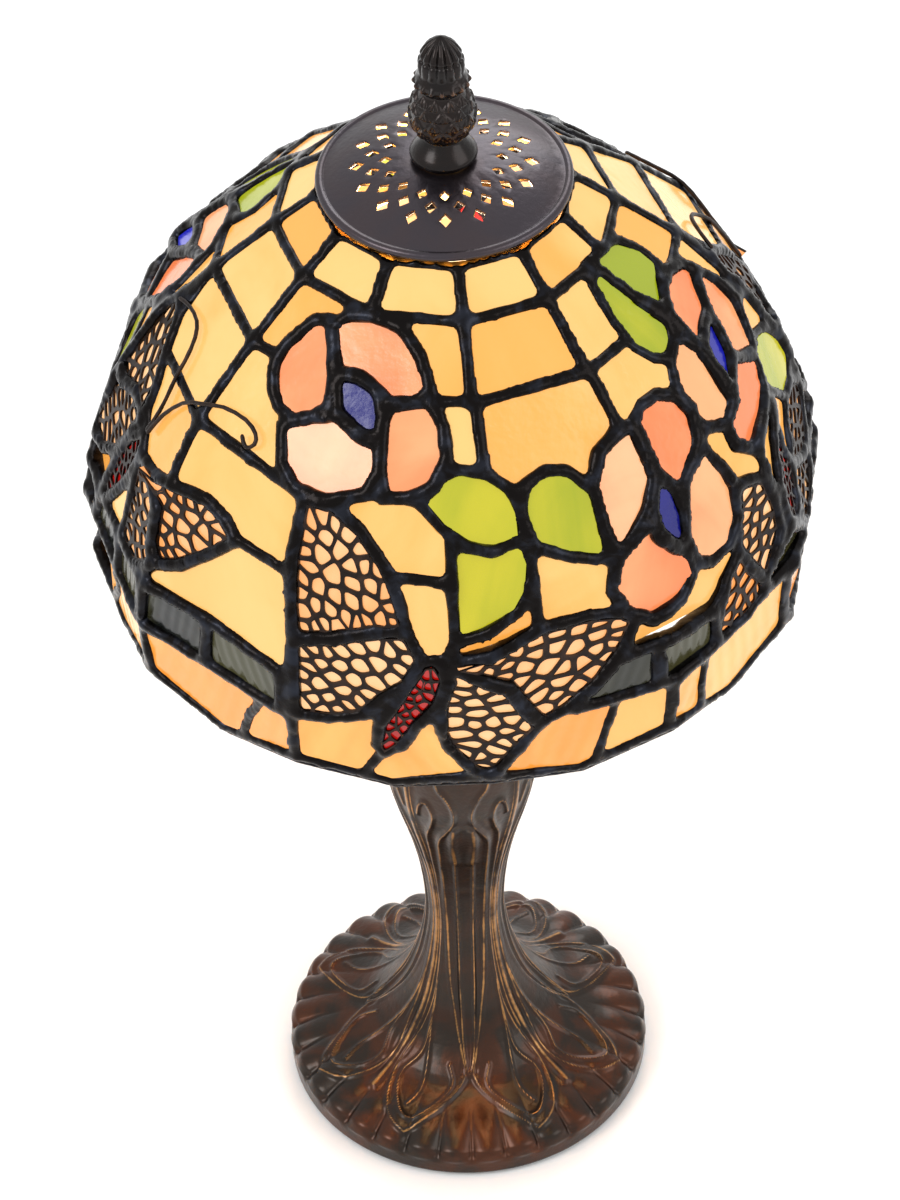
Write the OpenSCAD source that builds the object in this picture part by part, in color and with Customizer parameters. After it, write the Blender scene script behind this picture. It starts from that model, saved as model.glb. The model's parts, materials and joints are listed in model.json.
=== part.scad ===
// Table lamp with a leaded glass dome shade on a cast bronze base.
// Millimetres, +Z up. The origin is the middle of the face that the lamp rests on.

/* [Base] */
// Radius of the foot
foot_r = 56; // [54:1:60]
// Top of the plain band round the foot
band_h = 6; // [5:0.5:7]
// Number of scallops round the foot
scallops = 32; // [24:4:40]
// Number of raised leaves on the foot
leaves_on_foot = 8; // [6:1:10]

/* [Shade] */
// Radius of the shade at its rim
shade_r = 100; // [96:1:104]
// Height of the rim above the table
rim_z = 223; // [221:1:225]
// Height of the glass dome
dome_h = 126; // [125:1:127]
// Thickness of the glass
glass_t = 2.6; // [2:0.1:3]
// Width of the soldered seams
seam_w = 2.8; // [2.2:0.1:3.2]
// Thickness of the soldered seams, glass included
seam_t = 4.6; // [4.2:0.1:5]

/* [Cap] */
// Radius of the vented cap
cap_r = 33; // [32:0.5:34]
// Diamond holes in each ring of the cap
vents = 16; // [12:2:16]

/* [Fittings] */
// Outer radius of the threaded pipe
pipe_r = 5; // [4.8:0.1:5]
// Radius of the wire that the harp is bent from
harp_wire_r = 1.6; // [1.4:0.1:1.7]
// Half the width of the harp
harp_r = 32; // [31:0.5:33]
// Radius of the bulb
bulb_r = 22.5; // [20:0.5:23]

/* [Hidden] */
$fn = 64;

// Heights up the middle of the lamp
felt_t = 1.5;
web_z = 20;
stem_top = 192;
ring_t = 3;
saddle_t = 1.6;
saddle_z = stem_top + ring_t;
nut_z = saddle_z + saddle_t;
nut_h = 3.4;
socket_z = nut_z + nut_h;
pipe_top = socket_z + 5.5;
shell_z = socket_z + 17;
shell_top = socket_z + 54;
contact_z = socket_z + 24;
switch_z = socket_z + 11;
bulb_z = contact_z + 56;
harp_top = 350;
cap_z = 358.5;
cap_t = 1;
finial_z = cap_z + cap_t + 1;
finial_top = 399;

// Small gaps between pieces that slide, turn or are threaded together
fit = 0.05;
thread_gap = 0.1;

screw_ring_r = 42;
pipe_bore_r = 3.5;
socket_r = 17;
socket_wall = 0.8;
lamp_cap_r = 13.1;
stud_r = 3.1;

// ---------------------------------------------------------------- helper functions

// A rounded line through the given points, with steps points to each stretch
function between(a, b, c, d, t) =
    0.5 * (2 * b + (c - a) * t + (2 * a - 5 * b + 4 * c - d) * t * t + (3 * b - a - 3 * c + d) * t * t * t);
function smooth(p, steps) = [
    for (i = [0 : len(p) - 2])
        for (k = [0 : steps - (i == len(p) - 2 ? 0 : 1)])
            between(p[max(i - 1, 0)], p[i], p[i + 1], p[min(i + 2, len(p) - 1)], k / steps)];

function unit(v) = v / norm(v);
function total(list, i = 0) = i == len(list) - 1 ? list[i] : list[i] + total(list, i + 1);
function left_of(v) = [-v[1], v[0]];
function area2(p) = total([for (i = [0 : len(p) - 1]) cross(p[i], p[(i + 1) % len(p)])]);

// An outline moved inwards by d, or outwards where d is negative
function inset(p, d) =
    let (n = len(p), side = area2(p) > 0 ? 1 : -1)
    [for (i = [0 : n - 1])
        let (before = side * left_of(unit(p[i] - p[(i + n - 1) % n])),
             after = side * left_of(unit(p[(i + 1) % n] - p[i])))
        p[i] + (before + after) * d / max(1 + before * after, 0.5)];

// ---------------------------------------------------------------- the dome and its pattern

// The ribs that come down from the cap, as angles from the front, over one half of the shade.
// The other half repeats the first, so everything on the shade is made twice.
RIBS = [-86, -56, -26, 5, 35, 65, 94];

// The dome: per cent of the way up from rim to cap, height and radius as parts of the whole.
// It bends only at these seams, so that the glass between them can be flat.
DOME = [[-5, -0.06, 0.98], [0, 0, 1], [16, 0.19, 1.017], [25, 0.296, 1], [44, 0.515, 0.915],
        [60, 0.68, 0.79], [76.5, 0.82, 0.615], [90.5, 0.928, 0.45], [100, 1, 0.33]];
function dome_z(s) = rim_z + dome_h * lookup(s, [for (d = DOME) [d[0], d[1]]]);
function dome_r(s) = shade_r * lookup(s, [for (d = DOME) [d[0], d[2]]]);

// The shade is flat between one rib and the next
function first_half(a) = a - 180 * floor((a - RIBS[0]) / 180);
function gore(a) = max([for (i = [0 : 5]) if (first_half(a) >= RIBS[i]) i]);
function flatten(a) =
    let (i = gore(a), middle = (RIBS[i] + RIBS[i + 1]) / 2, half = (RIBS[i + 1] - RIBS[i]) / 2)
    cos(half) / cos(first_half(a) - middle);

// A place on the dome: angle from the front, positive to the right, and per cent of the way up
function on_dome(p, in = 0) =
    let (r = dome_r(p[1]) * flatten(p[0]) - in * (1.02 - p[1] / 160), z = dome_z(p[1]) - in * p[1] / 110)
    [r * sin(p[0]), -r * cos(p[0]), z];

// The flat plane that best fits an outline on the dome: its middle and three directions
function plane(o) =
    let (p = [for (q = o) on_dome(q)], n = len(p), c = total(p) / n,
         w = unit(total([for (i = [0 : n - 1]) cross(p[i] - c, p[(i + 1) % n] - c)])),
         out = w * [c[0], c[1], 60] > 0 ? w : -w, u = unit(cross([0, 0, 1], out)))
    [c, u, cross(out, u), out];
function flat(o, f) = [for (q = o) let (d = on_dome(q) - f[0]) [d * f[1], d * f[2]]];
function low(o, k) = min([for (q = o) q[k]]);
function high(o, k) = max([for (q = o) q[k]]);
function near(a, b) = low(a, 0) < high(b, 0) + 3 && low(b, 0) < high(a, 0) + 3
    && low(a, 1) < high(b, 1) + 3 && low(b, 1) < high(a, 1) + 3;

// One half of the pattern, which the other half repeats. Every outline runs along its seams.
// The seams that cross the ribs near the cap
RINGS = [100, 90.5, 76.5];

CENTRES = [
    [[-30.5, 78.5], [-24, 79.5], [-18, 77], [-15.8, 73], [-15.8, 69], [-20, 69], [-27, 72.5]],
    [[39.5, 54], [36.3, 50], [36, 45], [39, 40.5], [41.5, 40.3], [43, 45], [42.7, 50]],
    [[64.3, 58.5], [65.5, 56.2], [72, 59], [77.5, 66.2], [72, 66.5], [67, 66], [65, 63]]];

PETALS = [
    [[-47.7, 79], [-47.7, 75], [-45, 71], [-41, 68.3], [-36.5, 67.5], [-32, 70], [-28.5, 73],
     [-30.5, 78.5], [-35.5, 84], [-39, 86.5], [-44, 85]],
    [[-37.5, 85.5], [-33.5, 88.8], [-25, 90.3], [-15, 88.8], [-8, 84], [-4.5, 78], [-8, 76],
     [-15, 75], [-18, 77], [-24, 79.5], [-30.5, 78.5], [-34, 81.5]],
    [[-15.8, 73], [-15, 75], [-8, 76], [-4.5, 76.5], [-1.5, 72], [-0.8, 67], [-3.5, 61.5],
     [-8, 59], [-13.5, 58.5], [-14.7, 63], [-15.8, 69]],
    [[-38.5, 66.3], [-36.5, 67.5], [-32, 70], [-27, 72.5], [-20, 69], [-15.8, 68], [-14.7, 63],
     [-16.5, 59], [-24, 57], [-31, 57], [-35.5, 60]],
    [[28, 43.5], [27, 50], [27, 57], [30, 62.5], [34.5, 64.8], [39.7, 64.5], [39.5, 54],
     [36.3, 50], [32, 46.5]],
    [[39.7, 64.5], [44, 66], [49, 65.7], [53, 63], [54.5, 59], [52.5, 53.5], [47.5, 50.7],
     [44, 48.5], [42.7, 50], [40, 54.5]],
    [[44, 48.5], [47.5, 50.7], [52.5, 52.5], [55, 47], [56, 42], [54.5, 36], [51, 32.5],
     [46, 32.3], [42.7, 34.5], [41.5, 40.3], [43, 45]],
    [[28, 43.5], [32, 46.5], [36.2, 48.5], [36, 45], [39, 40.5], [41.5, 38], [41.8, 33.5],
     [38, 30.5], [32, 29.3], [28, 32.5], [26, 37.5]],
    [[61.5, 71], [57, 68.3], [54, 64], [53.3, 59], [55, 54.5], [60, 52.3], [64.3, 55],
     [64.3, 58.5], [65, 63], [65.3, 67], [63.5, 70]],
    [[65.3, 67], [65, 70.5], [65.5, 75], [72, 77.5], [79, 77], [85, 74.5], [86.5, 71.5],
     [82, 69.5], [77.5, 66.2], [72, 66.5], [67, 66]],
    [[72, 59], [77.5, 66.2], [82, 69.5], [86.5, 71.5], [88.5, 66], [88, 60.5], [85, 57],
     [81, 52.5], [75, 56]],
    [[59.5, 52], [62.5, 56], [65.5, 56.2], [72, 59], [75, 56], [80, 52.3], [76, 47.5],
     [70, 45.7], [62.5, 45], [59.5, 48]]];

LEAVES = [
    [[-6.5, 58.5], [-2, 63.5], [1, 65], [7, 64], [11, 60.5], [12.5, 56], [12.3, 51.5],
     [7, 50.5], [2, 51.5], [-2.5, 54.5]],
    [[-0.8, 52.5], [7, 50.5], [12.3, 51.5], [13.2, 47], [12.3, 42], [10, 38.5], [5, 36], [-0.3, 33.5]],
    [[12.5, 56], [14, 60.5], [18.5, 62], [23, 61], [27, 56.5], [27, 43.5], [20, 46], [14, 49.5]],
    [[58, 90], [52.5, 87.5], [50.5, 80], [51, 74.5], [54, 70.5], [57, 68.7], [61, 70.5],
     [64, 73.5], [62, 79.5]],
    [[57, 91], [66, 91], [74, 89.5], [79, 84], [78.5, 79.5], [72, 77.5], [65.5, 75],
     [62.3, 80], [57.5, 89]],
    [[77, 46], [80, 52.3], [85, 53.3], [89.5, 51], [92, 46], [92, 41], [87, 39], [82.5, 39.3]]];

BODIES = [
    [[-5.5, 29.5], [-3, 30], [-1.5, 26], [-3, 20.5], [-6.5, 15], [-9, 9.5], [-12, 6.5],
     [-13.2, 9], [-12.5, 15], [-10, 20], [-8, 24]],
    [[-69.5, 47], [-67.5, 44.5], [-69, 38], [-72.5, 31], [-76, 25.3], [-78.3, 25.3],
     [-77.3, 31], [-76, 37], [-73.8, 42.5]],
    [[75, 45.5], [73, 42], [72.6, 37], [73.8, 31], [71, 26], [68, 23.5], [65, 26.5],
     [64.5, 31], [66.5, 36], [70, 41.5]]];

WINGS = [
    [[-28.5, 57.5], [-23, 57], [-17, 53], [-11.5, 46], [-9.5, 41], [-8, 35], [-14, 34],
     [-20, 32], [-26.5, 31], [-27.5, 38], [-28.5, 46]],
    [[-26.5, 31], [-20, 32], [-14, 34], [-8, 35], [-5.5, 29.5], [-8, 24], [-11.5, 21],
     [-15, 16.5], [-20, 15], [-25.5, 15]],
    [[-2, 29.5], [5, 31.5], [13, 34.3], [22, 34.3], [30, 32.5], [27, 26], [22, 20], [17, 16.5],
     [12.5, 14.5], [10.5, 18], [7.5, 24.5]],
    [[-2, 29.5], [7.5, 24.5], [10.5, 18], [12.5, 14.5], [9, 9.5], [6, 5], [4.5, 3.5], [2, 4.5],
     [-1.5, 9.5], [-3, 14], [-3, 20.5]],
    [[-88.5, 64], [-86, 68.5], [-82, 66], [-77, 60.5], [-73.5, 54.5], [-72, 48], [-78, 49],
     [-84, 47], [-88.5, 47.5]],
    [[-88.5, 47.5], [-84, 47], [-78, 49], [-71.5, 48], [-73.8, 42.5], [-77, 36], [-82, 32],
     [-87, 31], [-89.5, 34], [-88.5, 42]],
    [[-66, 43.5], [-61, 44.5], [-56, 46.5], [-48, 47.5], [-43, 46], [-39.5, 43.5], [-44, 38.5],
     [-50, 32.5], [-55, 29.5], [-57, 33], [-58, 40]],
    [[-67.8, 44.5], [-66, 43.5], [-58, 40], [-57, 33], [-55, 29.5], [-58, 26.5], [-61, 24.5],
     [-67.5, 25], [-67.5, 32]],
    [[56, 42], [62.5, 39.5], [63.5, 33], [63, 27], [60, 23.5], [57, 20], [54.5, 25],
     [52.5, 30.5], [54, 36]],
    [[52.5, 30.5], [48, 27], [45.5, 22], [43.5, 15.5], [52, 16], [57, 17.5], [57, 20], [54.5, 25]],
    [[74, 31], [78, 36.5], [82.5, 39.3], [87, 39], [91.5, 35.5], [88, 30], [84, 26], [80, 27]],
    [[74, 31], [80, 27], [84, 26], [84, 21], [80, 16.5], [75, 16], [71.5, 20], [71, 26]]];

BRANCHES = [
    [[-78.3, 25.3], [-68, 25], [-68, 16], [-80, 18]],
    [[-68, 25], [-61, 24.5], [-57, 25.5], [-57, 15], [-68, 16]],
    [[-57, 25], [-43, 25.5], [-43, 15.5], [-57, 15]],
    [[-43, 25.5], [-27.5, 23.5], [-27.5, 14.5], [-43, 15.5]],
    [[22, 20], [24.5, 24], [32, 25], [32, 15.5], [17, 16]],
    [[32, 25], [44.5, 23.5], [44, 15.5], [32, 15.5]],
    [[57, 20], [60, 23.5], [65, 26.5], [71.5, 20], [73, 16.5], [57, 17.5]],
    [[84, 25.5], [101.7, 25.3], [100, 18], [84, 18]]];

MIDDLE = [
    [[-86, 76.5], [-56, 76.5], [-56.5, 59.5], [-80, 60]],
    [[-56, 76.5], [-26, 76.5], [-28, 56.5], [-56.5, 59.5]],
    [[-26, 76.5], [6, 76.5], [6.5, 63], [-4, 63]],
    [[6, 76.5], [36, 76.5], [36.5, 63], [27, 56], [12, 56.5], [6.5, 63]],
    [[36, 76.5], [60, 76.5], [57, 64], [36.5, 63]],
    [[75, 76.5], [94, 76.5], [92.5, 66], [91.5, 59.5], [80, 59.5]],
    [[-82, 60], [-56.5, 59.5], [-56.5, 44], [-70.5, 43.5], [-70.5, 48]],
    [[-56.5, 59.5], [-40, 59], [-27.5, 56.5], [-28.5, 43], [-40, 43.5], [-56.5, 45.5]],
    [[-56.5, 45.5], [-40, 43.5], [-28.5, 43], [-26, 28], [-26.5, 23.5], [-56.5, 25]],
    [[-24, 60], [-4, 60], [-0.5, 53], [-0.8, 45], [-12, 45]],
    [[-12.5, 45], [-0.8, 45], [-0.3, 33.5], [-2, 29.5], [-6, 29.5]],
    [[-2.3, 29.5], [-0.3, 33.5], [13, 42.5], [13.2, 33.5]],
    [[13, 50.5], [27.5, 46], [27, 33.5], [13.2, 33.5]],
    [[23, 24.5], [28, 34], [54, 34], [53, 29], [44, 23.5]],
    [[53, 57], [60, 54], [63.5, 46], [63.5, 39], [54.5, 41]],
    [[63.5, 46.5], [74, 46.5], [72.5, 42], [65, 29], [63.5, 30]],
    [[75.8, 45.5], [78, 46], [84, 39], [74, 30.5], [72.5, 37]],
    [[80, 60], [91.5, 59.5], [91.5, 50], [80, 51]],
    [[-68, 36], [-67.5, 25], [-76.5, 25], [-72, 32]],
    [[88, 33], [92, 38], [104, 38], [101.5, 25.3], [85, 25.3]]];

// The rim rises to a notch at every rib and hangs lower between them
notch_s = 3.5;
droop_s = -1;
LOWER = [
    [[-99, 18], [-80, 18], [-69, 16], [-71, 8], [-76, 0.5], [-86, notch_s], [-96, 0.5]],
    [[-69, 16], [-57, 15], [-57, 3.2], [-71, droop_s], [-76, 0.5], [-71, 8]],
    [[-57, 15], [-43, 15.5], [-31.5, 14.5], [-34.5, 8], [-37, 0.2], [-41, droop_s], [-56, notch_s]],
    [[-31.5, 14.5], [-26, 14.5], [-26, notch_s], [-37, 0.2], [-34.5, 8]],
    [[-26, 15], [-11, 22], [-12.5, 7], [-15.5, 0.4], [-26, notch_s]],
    [[-12.5, 7], [-4, 21], [3, 3.7], [-11, droop_s], [-15.5, 0.4]],
    [[4, 3.5], [14, 16], [25, 15.5], [23.5, 8], [22, 0], [19, droop_s]],
    [[25, 15.5], [34, 15.5], [34, notch_s], [22, 0], [23.5, 8]],
    [[34, 15.5], [41.5, 15.5], [41, 8], [41.5, 1.3], [34, notch_s]],
    [[41.5, 15.5], [62.5, 17.5], [62.5, 8], [63, 3.4], [49, droop_s], [41.5, 1.3], [41, 8]],
    [[62.5, 17.5], [76, 17], [77.5, 9], [79, droop_s], [64, notch_s], [62.5, 8]],
    [[76, 17], [82, 18], [84, 1.8], [79, droop_s], [77.5, 9]]];

UPPER = [for (r = [0, 1]) for (i = [0 : 5])
    [[RIBS[i], RINGS[r]], [RIBS[i + 1], RINGS[r]], [RIBS[i + 1], RINGS[r + 1]], [RIBS[i], RINGS[r + 1]]]];

// What is cut first stands whole, and each later piece is cut back to make room for it.
function turned(o, a) = [for (q = o) [q[0] + a, q[1]]];
ORDER = concat(CENTRES, PETALS, LEAVES, BODIES, WINGS, BRANCHES, MIDDLE, LOWER, UPPER);
FIRST_PETAL = len(CENTRES);
FIRST_LEAF = FIRST_PETAL + len(PETALS);
FIRST_BODY = FIRST_LEAF + len(LEAVES);
FIRST_WING = FIRST_BODY + len(BODIES);
FIRST_BRANCH = FIRST_WING + len(WINGS);
FIRST_MIDDLE = FIRST_BRANCH + len(BRANCHES);
FIRST_LOWER = FIRST_MIDDLE + len(MIDDLE);
FIRST_UPPER = FIRST_LOWER + len(LOWER);
count = len(ORDER);

module on_plane(f)
    multmatrix([[f[1][0], f[2][0], f[3][0], f[0][0]],
                [f[1][1], f[2][1], f[3][1], f[0][1]],
                [f[1][2], f[2][2], f[3][2], f[0][2]]])
        children();

// The flat shape of piece i, cut back from the outlines that come before it
module pane_shape(i, f) {
    o = ORDER[i];
    difference() {
        polygon(inset(flat(o, f), seam_w / 2));
        for (k = [0 : 1 : i - 1], a = [-180, 0, 180])
            if (near(o, turned(ORDER[k], a)))
                polygon(inset(flat(turned(ORDER[k], a), f), -seam_w / 2));
    }
}

module pane(i, thick = glass_t) {
    f = plane(ORDER[i]);
    on_plane(f)
        translate([0, 0, -thick / 2])
            linear_extrude(thick)
                pane_shape(i, f);
}

module both_halves() {
    children();
    rotate([0, 0, 180])
        children();
}

module panes(from, to)
    both_halves()
        for (i = [from : to - 1])
            pane(i);

module glass_cream_upper()
    color([1, 0.78, 0.42])
        panes(FIRST_UPPER, count);

module glass_cream_middle()
    color([1, 0.78, 0.42])
        panes(FIRST_MIDDLE, FIRST_LOWER);

module glass_cream_lower()
    color([0.95, 0.66, 0.25])
        panes(FIRST_LOWER, FIRST_UPPER);

module glass_petals()
    color([1, 0.6, 0.4])
        panes(FIRST_PETAL, FIRST_LEAF);

module glass_flower_centres()
    color([0.05, 0.1, 0.6])
        panes(0, FIRST_PETAL);

module glass_leaves()
    color([0.75, 0.8, 0.05])
        panes(FIRST_LEAF, FIRST_BODY);

module glass_bodies()
    color([0.7, 0.05, 0.02])
        panes(FIRST_BODY, FIRST_WING);

module glass_wings()
    color([0.95, 0.65, 0.3])
        panes(FIRST_WING, FIRST_BRANCH);

module glass_branch()
    color([0.25, 0.28, 0.2])
        panes(FIRST_BRANCH, FIRST_MIDDLE);

// The soldered network: a folded sheet with an opening for every pane
SHEET_S = [0, 16, 25, 44, 60, 76.5, 90.5, 99.6];
SHEET_A = [for (turn = [0, 180]) for (i = [0 : 5]) each [RIBS[i] + turn, (RIBS[i] + RIBS[i + 1]) / 2 + turn]];
function sheet_s(row, column) = row > 0 ? SHEET_S[row] : (column % 2 == 0 ? notch_s : droop_s) - 1;

module folded_sheet() {
    rows = len(SHEET_S);
    columns = len(SHEET_A);
    points = [for (side = [-0.5, 0.5]) for (row = [0 : rows - 1]) for (column = [0 : columns - 1])
        on_dome([SHEET_A[column], sheet_s(row, column)], side * seam_t)];
    function at(side, row, column) = (side * rows + row) * columns + column % columns;
    polyhedron(points, [for (column = [0 : columns - 1]) each [
        for (row = [0 : rows - 2]) each [
            [at(0, row, column), at(0, row + 1, column), at(0, row + 1, column + 1), at(0, row, column + 1)],
            [at(1, row, column), at(1, row, column + 1), at(1, row + 1, column + 1), at(1, row + 1, column)]],
        [at(0, 0, column), at(0, 0, column + 1), at(1, 0, column + 1), at(1, 0, column)],
        [at(0, rows - 1, column + 1), at(0, rows - 1, column), at(1, rows - 1, column),
         at(1, rows - 1, column + 1)]]], convexity = 10);
}

module solder_seams()
    color([0.16, 0.12, 0.1])
        difference() {
            folded_sheet();
            both_halves()
                for (i = [0 : count - 1])
                    pane(i, 4 * seam_t);
        }

// A straight length of wire between two points
module wire(a, b, r) {
    d = b - a;
    translate(a)
        rotate([0, acos(d[2] / norm(d)), atan2(d[1], d[0])])
            cylinder(r = r, h = norm(d), $fn = 16);
}

// The wire that stiffens the rim, bent at every rib and between them
rim_wire_r = 1.1;
module rim_wire()
    color([0.2, 0.14, 0.1]) {
        corners = [for (k = [0 : len(SHEET_A) - 1]) on_dome([SHEET_A[k], sheet_s(0, k) - 0.9])];
        for (k = [0 : len(corners) - 1])
            hull()
                for (end = [k, (k + 1) % len(corners)])
                    translate(corners[end])
                        sphere(rim_wire_r, $fn = 12);
    }

// ---------------------------------------------------------------- pierced overlays and antennae

filigree_t = 0.8;
hole_pitch = 3.8;
hole_r = 1.25;

// A thin pierced plate that lies on the glass of piece i
module pierced(i) {
    f = plane(ORDER[i]);
    o = flat(ORDER[i], f);
    on_plane(f)
        translate([0, 0, glass_t / 2])
            linear_extrude(filigree_t)
                difference() {
                    pane_shape(i, f);
                    for (x = [low(o, 0) : hole_pitch : high(o, 0)], y = [low(o, 1) : hole_pitch : high(o, 1)])
                        translate([x + (round(y / hole_pitch) % 2) * hole_pitch / 2, y])
                            circle(hole_r, $fn = 16);
                }
}

module wing_filigree()
    color([0.15, 0.1, 0.07])
        both_halves()
            for (i = [FIRST_WING : FIRST_BRANCH - 1])
                pierced(i);

module body_filigree()
    color([0.15, 0.1, 0.07])
        both_halves()
            for (i = [FIRST_BODY : FIRST_WING - 1])
                pierced(i);

// Two antennae curl from the head of one butterfly on each side of the shade
antenna_r = 0.55;
antenna_gap = 0.5;
ANTENNAE = [
    [[-68.3, 48], [-67.5, 53], [-67.8, 58], [-69, 63], [-71.5, 67], [-75, 68.8], [-80, 68.8], [-84, 67.8]],
    [[-67.6, 48], [-66, 53], [-62, 58.5], [-57, 62], [-52, 63.8], [-46, 63.8], [-42.5, 62.5],
     [-41.7, 60.8], [-43.2, 59.6], [-45, 61]]];
module antennae()
    color([0.2, 0.12, 0.08])
        both_halves()
            for (line = ANTENNAE) {
                path = [for (q = smooth(line, 2)) on_dome(q, -seam_t / 2 - antenna_r - antenna_gap)];
                for (k = [0 : len(path) - 2])
                    hull()
                        for (end = [k, k + 1])
                            translate(path[end])
                                sphere(antenna_r, $fn = 8);
            }

// ---------------------------------------------------------------- vented cap and finial

cap_drop = 6.5;
first_vent_r = 15.4;
vent_step = 3.9;
vent_side = 2.6;
function cap_line(lift) = [for (k = [0 : 8]) let (t = k / 8)
    [cap_bore_r + (cap_r - cap_bore_r) * t, cap_z + lift - cap_drop * pow(t, 2.2)]];
cap_bore_r = stud_r + thread_gap;

module vented_cap()
    color([0.2, 0.15, 0.12])
        difference() {
            union() {
                rotate_extrude()
                    polygon(concat(cap_line(cap_t), [for (k = [8 : -1 : 0]) cap_line(0)[k]]));
                translate([0, 0, cap_z - cap_drop + cap_t / 2])
                    rotate_extrude()
                        translate([cap_r, 0])
                            circle(1.3, $fn = 24);
            }
            for (ring = [0 : 2])
                for (k = [0 : vents - 1])
                    rotate([0, 0, (k + ring / 2) * 360 / vents])
                        translate([first_vent_r + vent_step * ring, 0, cap_z - cap_drop])
                            scale([1, 0.8, 1])
                                rotate([0, 0, 45])
                                    linear_extrude(3 * cap_drop)
                                        square(vent_side + 0.25 * ring, center = true);
        }

// A band inside the top of the glass that the cap is soldered to
module cap_ring()
    color([0.7, 0.5, 0.25])
        translate([0, 0, cap_z - cap_drop])
            rotate_extrude()
                polygon([[cap_r - 1.7, -6.6], [cap_r - 3.2, 1.2], [cap_r - 4.2, 1.3], [cap_r - 2.7, -6.6]]);

module finial_washer()
    color([0.75, 0.55, 0.3])
        translate([0, 0, cap_z + cap_t + fit])
            difference() {
                cylinder(r = 7.5, h = 1 - 2 * fit);
                translate([0, 0, -1])
                    cylinder(r = stud_r + thread_gap, h = 4);
            }

insert_r = 4.6;
insert_h = 14;
module finial_insert()
    color([0.8, 0.62, 0.3])
        translate([0, 0, finial_z])
            difference() {
                cylinder(r = insert_r, h = insert_h);
                translate([0, 0, -1])
                    cylinder(r = stud_r + fit, h = insert_h + 2);
            }

// Radius and height above its foot, from the bell foot to the tip of the bud
FINIAL = [[9.2, 0], [9.4, 1], [8.6, 2.6], [7.2, 4.4], [6.1, 6], [5.8, 7.2], [7.6, 9.2], [9, 12.4],
          [9.1, 15.6], [8.2, 19], [6.6, 22], [6.2, 23.2], [7.1, 24.4], [7.2, 26.6], [6.3, 28.4],
          [6.4, 31], [5.6, 34.4], [3.6, 37.4], [1.2, 39.4], [0, 40]];
flutes = 14;
module finial()
    color([0.25, 0.14, 0.08])
        difference() {
            translate([0, 0, finial_z])
                rotate_extrude()
                    polygon(concat([[0, 0]], smooth(FINIAL * (finial_top - finial_z) / 40, 2)));
            translate([0, 0, finial_z - 1])
                cylinder(r = insert_r, h = insert_h + 1);
            translate([0, 0, finial_z])
                cylinder(r = stud_r + fit, h = insert_h + 2);
            for (k = [0 : flutes - 1])
                rotate([0, 0, k * 360 / flutes])
                    translate([7.4, 0, finial_z + 29])
                        cylinder(r = 1.2, h = 12, $fn = 24);
        }

// ---------------------------------------------------------------- harp and stud

// Leg, half circle and leg, bent from one wire
sleeve_h = 9;
harp_foot = saddle_z + saddle_t + 0.4;
arch_z = harp_top - harp_r;
module harp()
    color([0.75, 0.6, 0.35]) {
        for (side = [-1, 1])
            translate([side * harp_r, 0, harp_foot])
                cylinder(r = harp_wire_r, h = arch_z - harp_foot);
        translate([0, 0, arch_z])
            rotate([90, 0, 0])
                rotate_extrude(angle = 180)
                    translate([harp_r, 0])
                        circle(harp_wire_r, $fn = 24);
    }

module harp_saddle()
    color([0.75, 0.6, 0.35])
        difference() {
            union() {
                translate([-harp_r, -6, saddle_z])
                    cube([2 * harp_r, 12, saddle_t]);
                for (side = [-1, 1])
                    translate([side * harp_r, 0, saddle_z])
                        cylinder(r = 3.4, h = sleeve_h);
            }
            translate([0, 0, saddle_z - 1])
                cylinder(r = pipe_r + thread_gap, h = 4);
            for (side = [-1, 1])
                translate([side * harp_r, 0, saddle_z + saddle_t])
                    cylinder(r = harp_wire_r + fit, h = sleeve_h);
        }

module harp_stud()
    color([0.8, 0.62, 0.3])
        difference() {
            union() {
                translate([0, 0, harp_top - 4])
                    cylinder(r = 4.5, h = cap_z - harp_top + 2.5);
                translate([0, 0, cap_z - 2])
                    cylinder(r = 7, h = 1.75);
                cylinder_between(stud_r, cap_z - 1, finial_z + insert_h - 1);
            }
            translate([0, 0, arch_z])
                rotate([90, 0, 0])
                    rotate_extrude()
                        translate([harp_r, 0])
                            circle(harp_wire_r + fit, $fn = 24);
        }

module cylinder_between(r, low_z, high_z)
    translate([0, 0, low_z])
        cylinder(r = r, h = high_z - low_z);

// A tube from one height to another
module tube(outer, inner, low_z, high_z)
    difference() {
        cylinder_between(outer, low_z, high_z);
        cylinder_between(inner, low_z - 1, high_z + 1);
    }

// ---------------------------------------------------------------- socket and switch

module check_ring()
    color([0.75, 0.55, 0.3])
        difference() {
            translate([0, 0, stem_top])
                rotate_extrude()
                    polygon([[0, 0], [12.5, 0], [13.4, ring_t / 2], [12.5, ring_t], [0, ring_t]]);
            cylinder_between(pipe_r + thread_gap, stem_top - 1, saddle_z + 1);
        }

module saddle_nut()
    color([0.75, 0.6, 0.35])
        difference() {
            translate([0, 0, nut_z])
                cylinder(r = 8.5, h = nut_h, $fn = 6);
            cylinder_between(pipe_r + fit, nut_z - 1, socket_z + 1);
        }

module socket_cap()
    color([0.8, 0.62, 0.3])
        difference() {
            union() {
                difference() {
                    translate([0, 0, socket_z])
                        rotate_extrude()
                            polygon([[0, 0], [9, 0], [socket_r, 8], [socket_r, 18], [0, 18]]);
                    translate([0, 0, socket_z + socket_wall])
                        rotate_extrude()
                            polygon([[0, 0], [8.6, 0], [socket_r - socket_wall, 7.6],
                                     [socket_r - socket_wall, 20], [0, 20]]);
                }
                cylinder_between(7, socket_z, socket_z + 6);
            }
            cylinder_between(pipe_r + fit, socket_z - 1, socket_z + 8);
            translate([0, 0, switch_z])
                rotate([90, 0, 0])
                    cylinder(r = 2.2, h = 30);
        }

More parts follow.
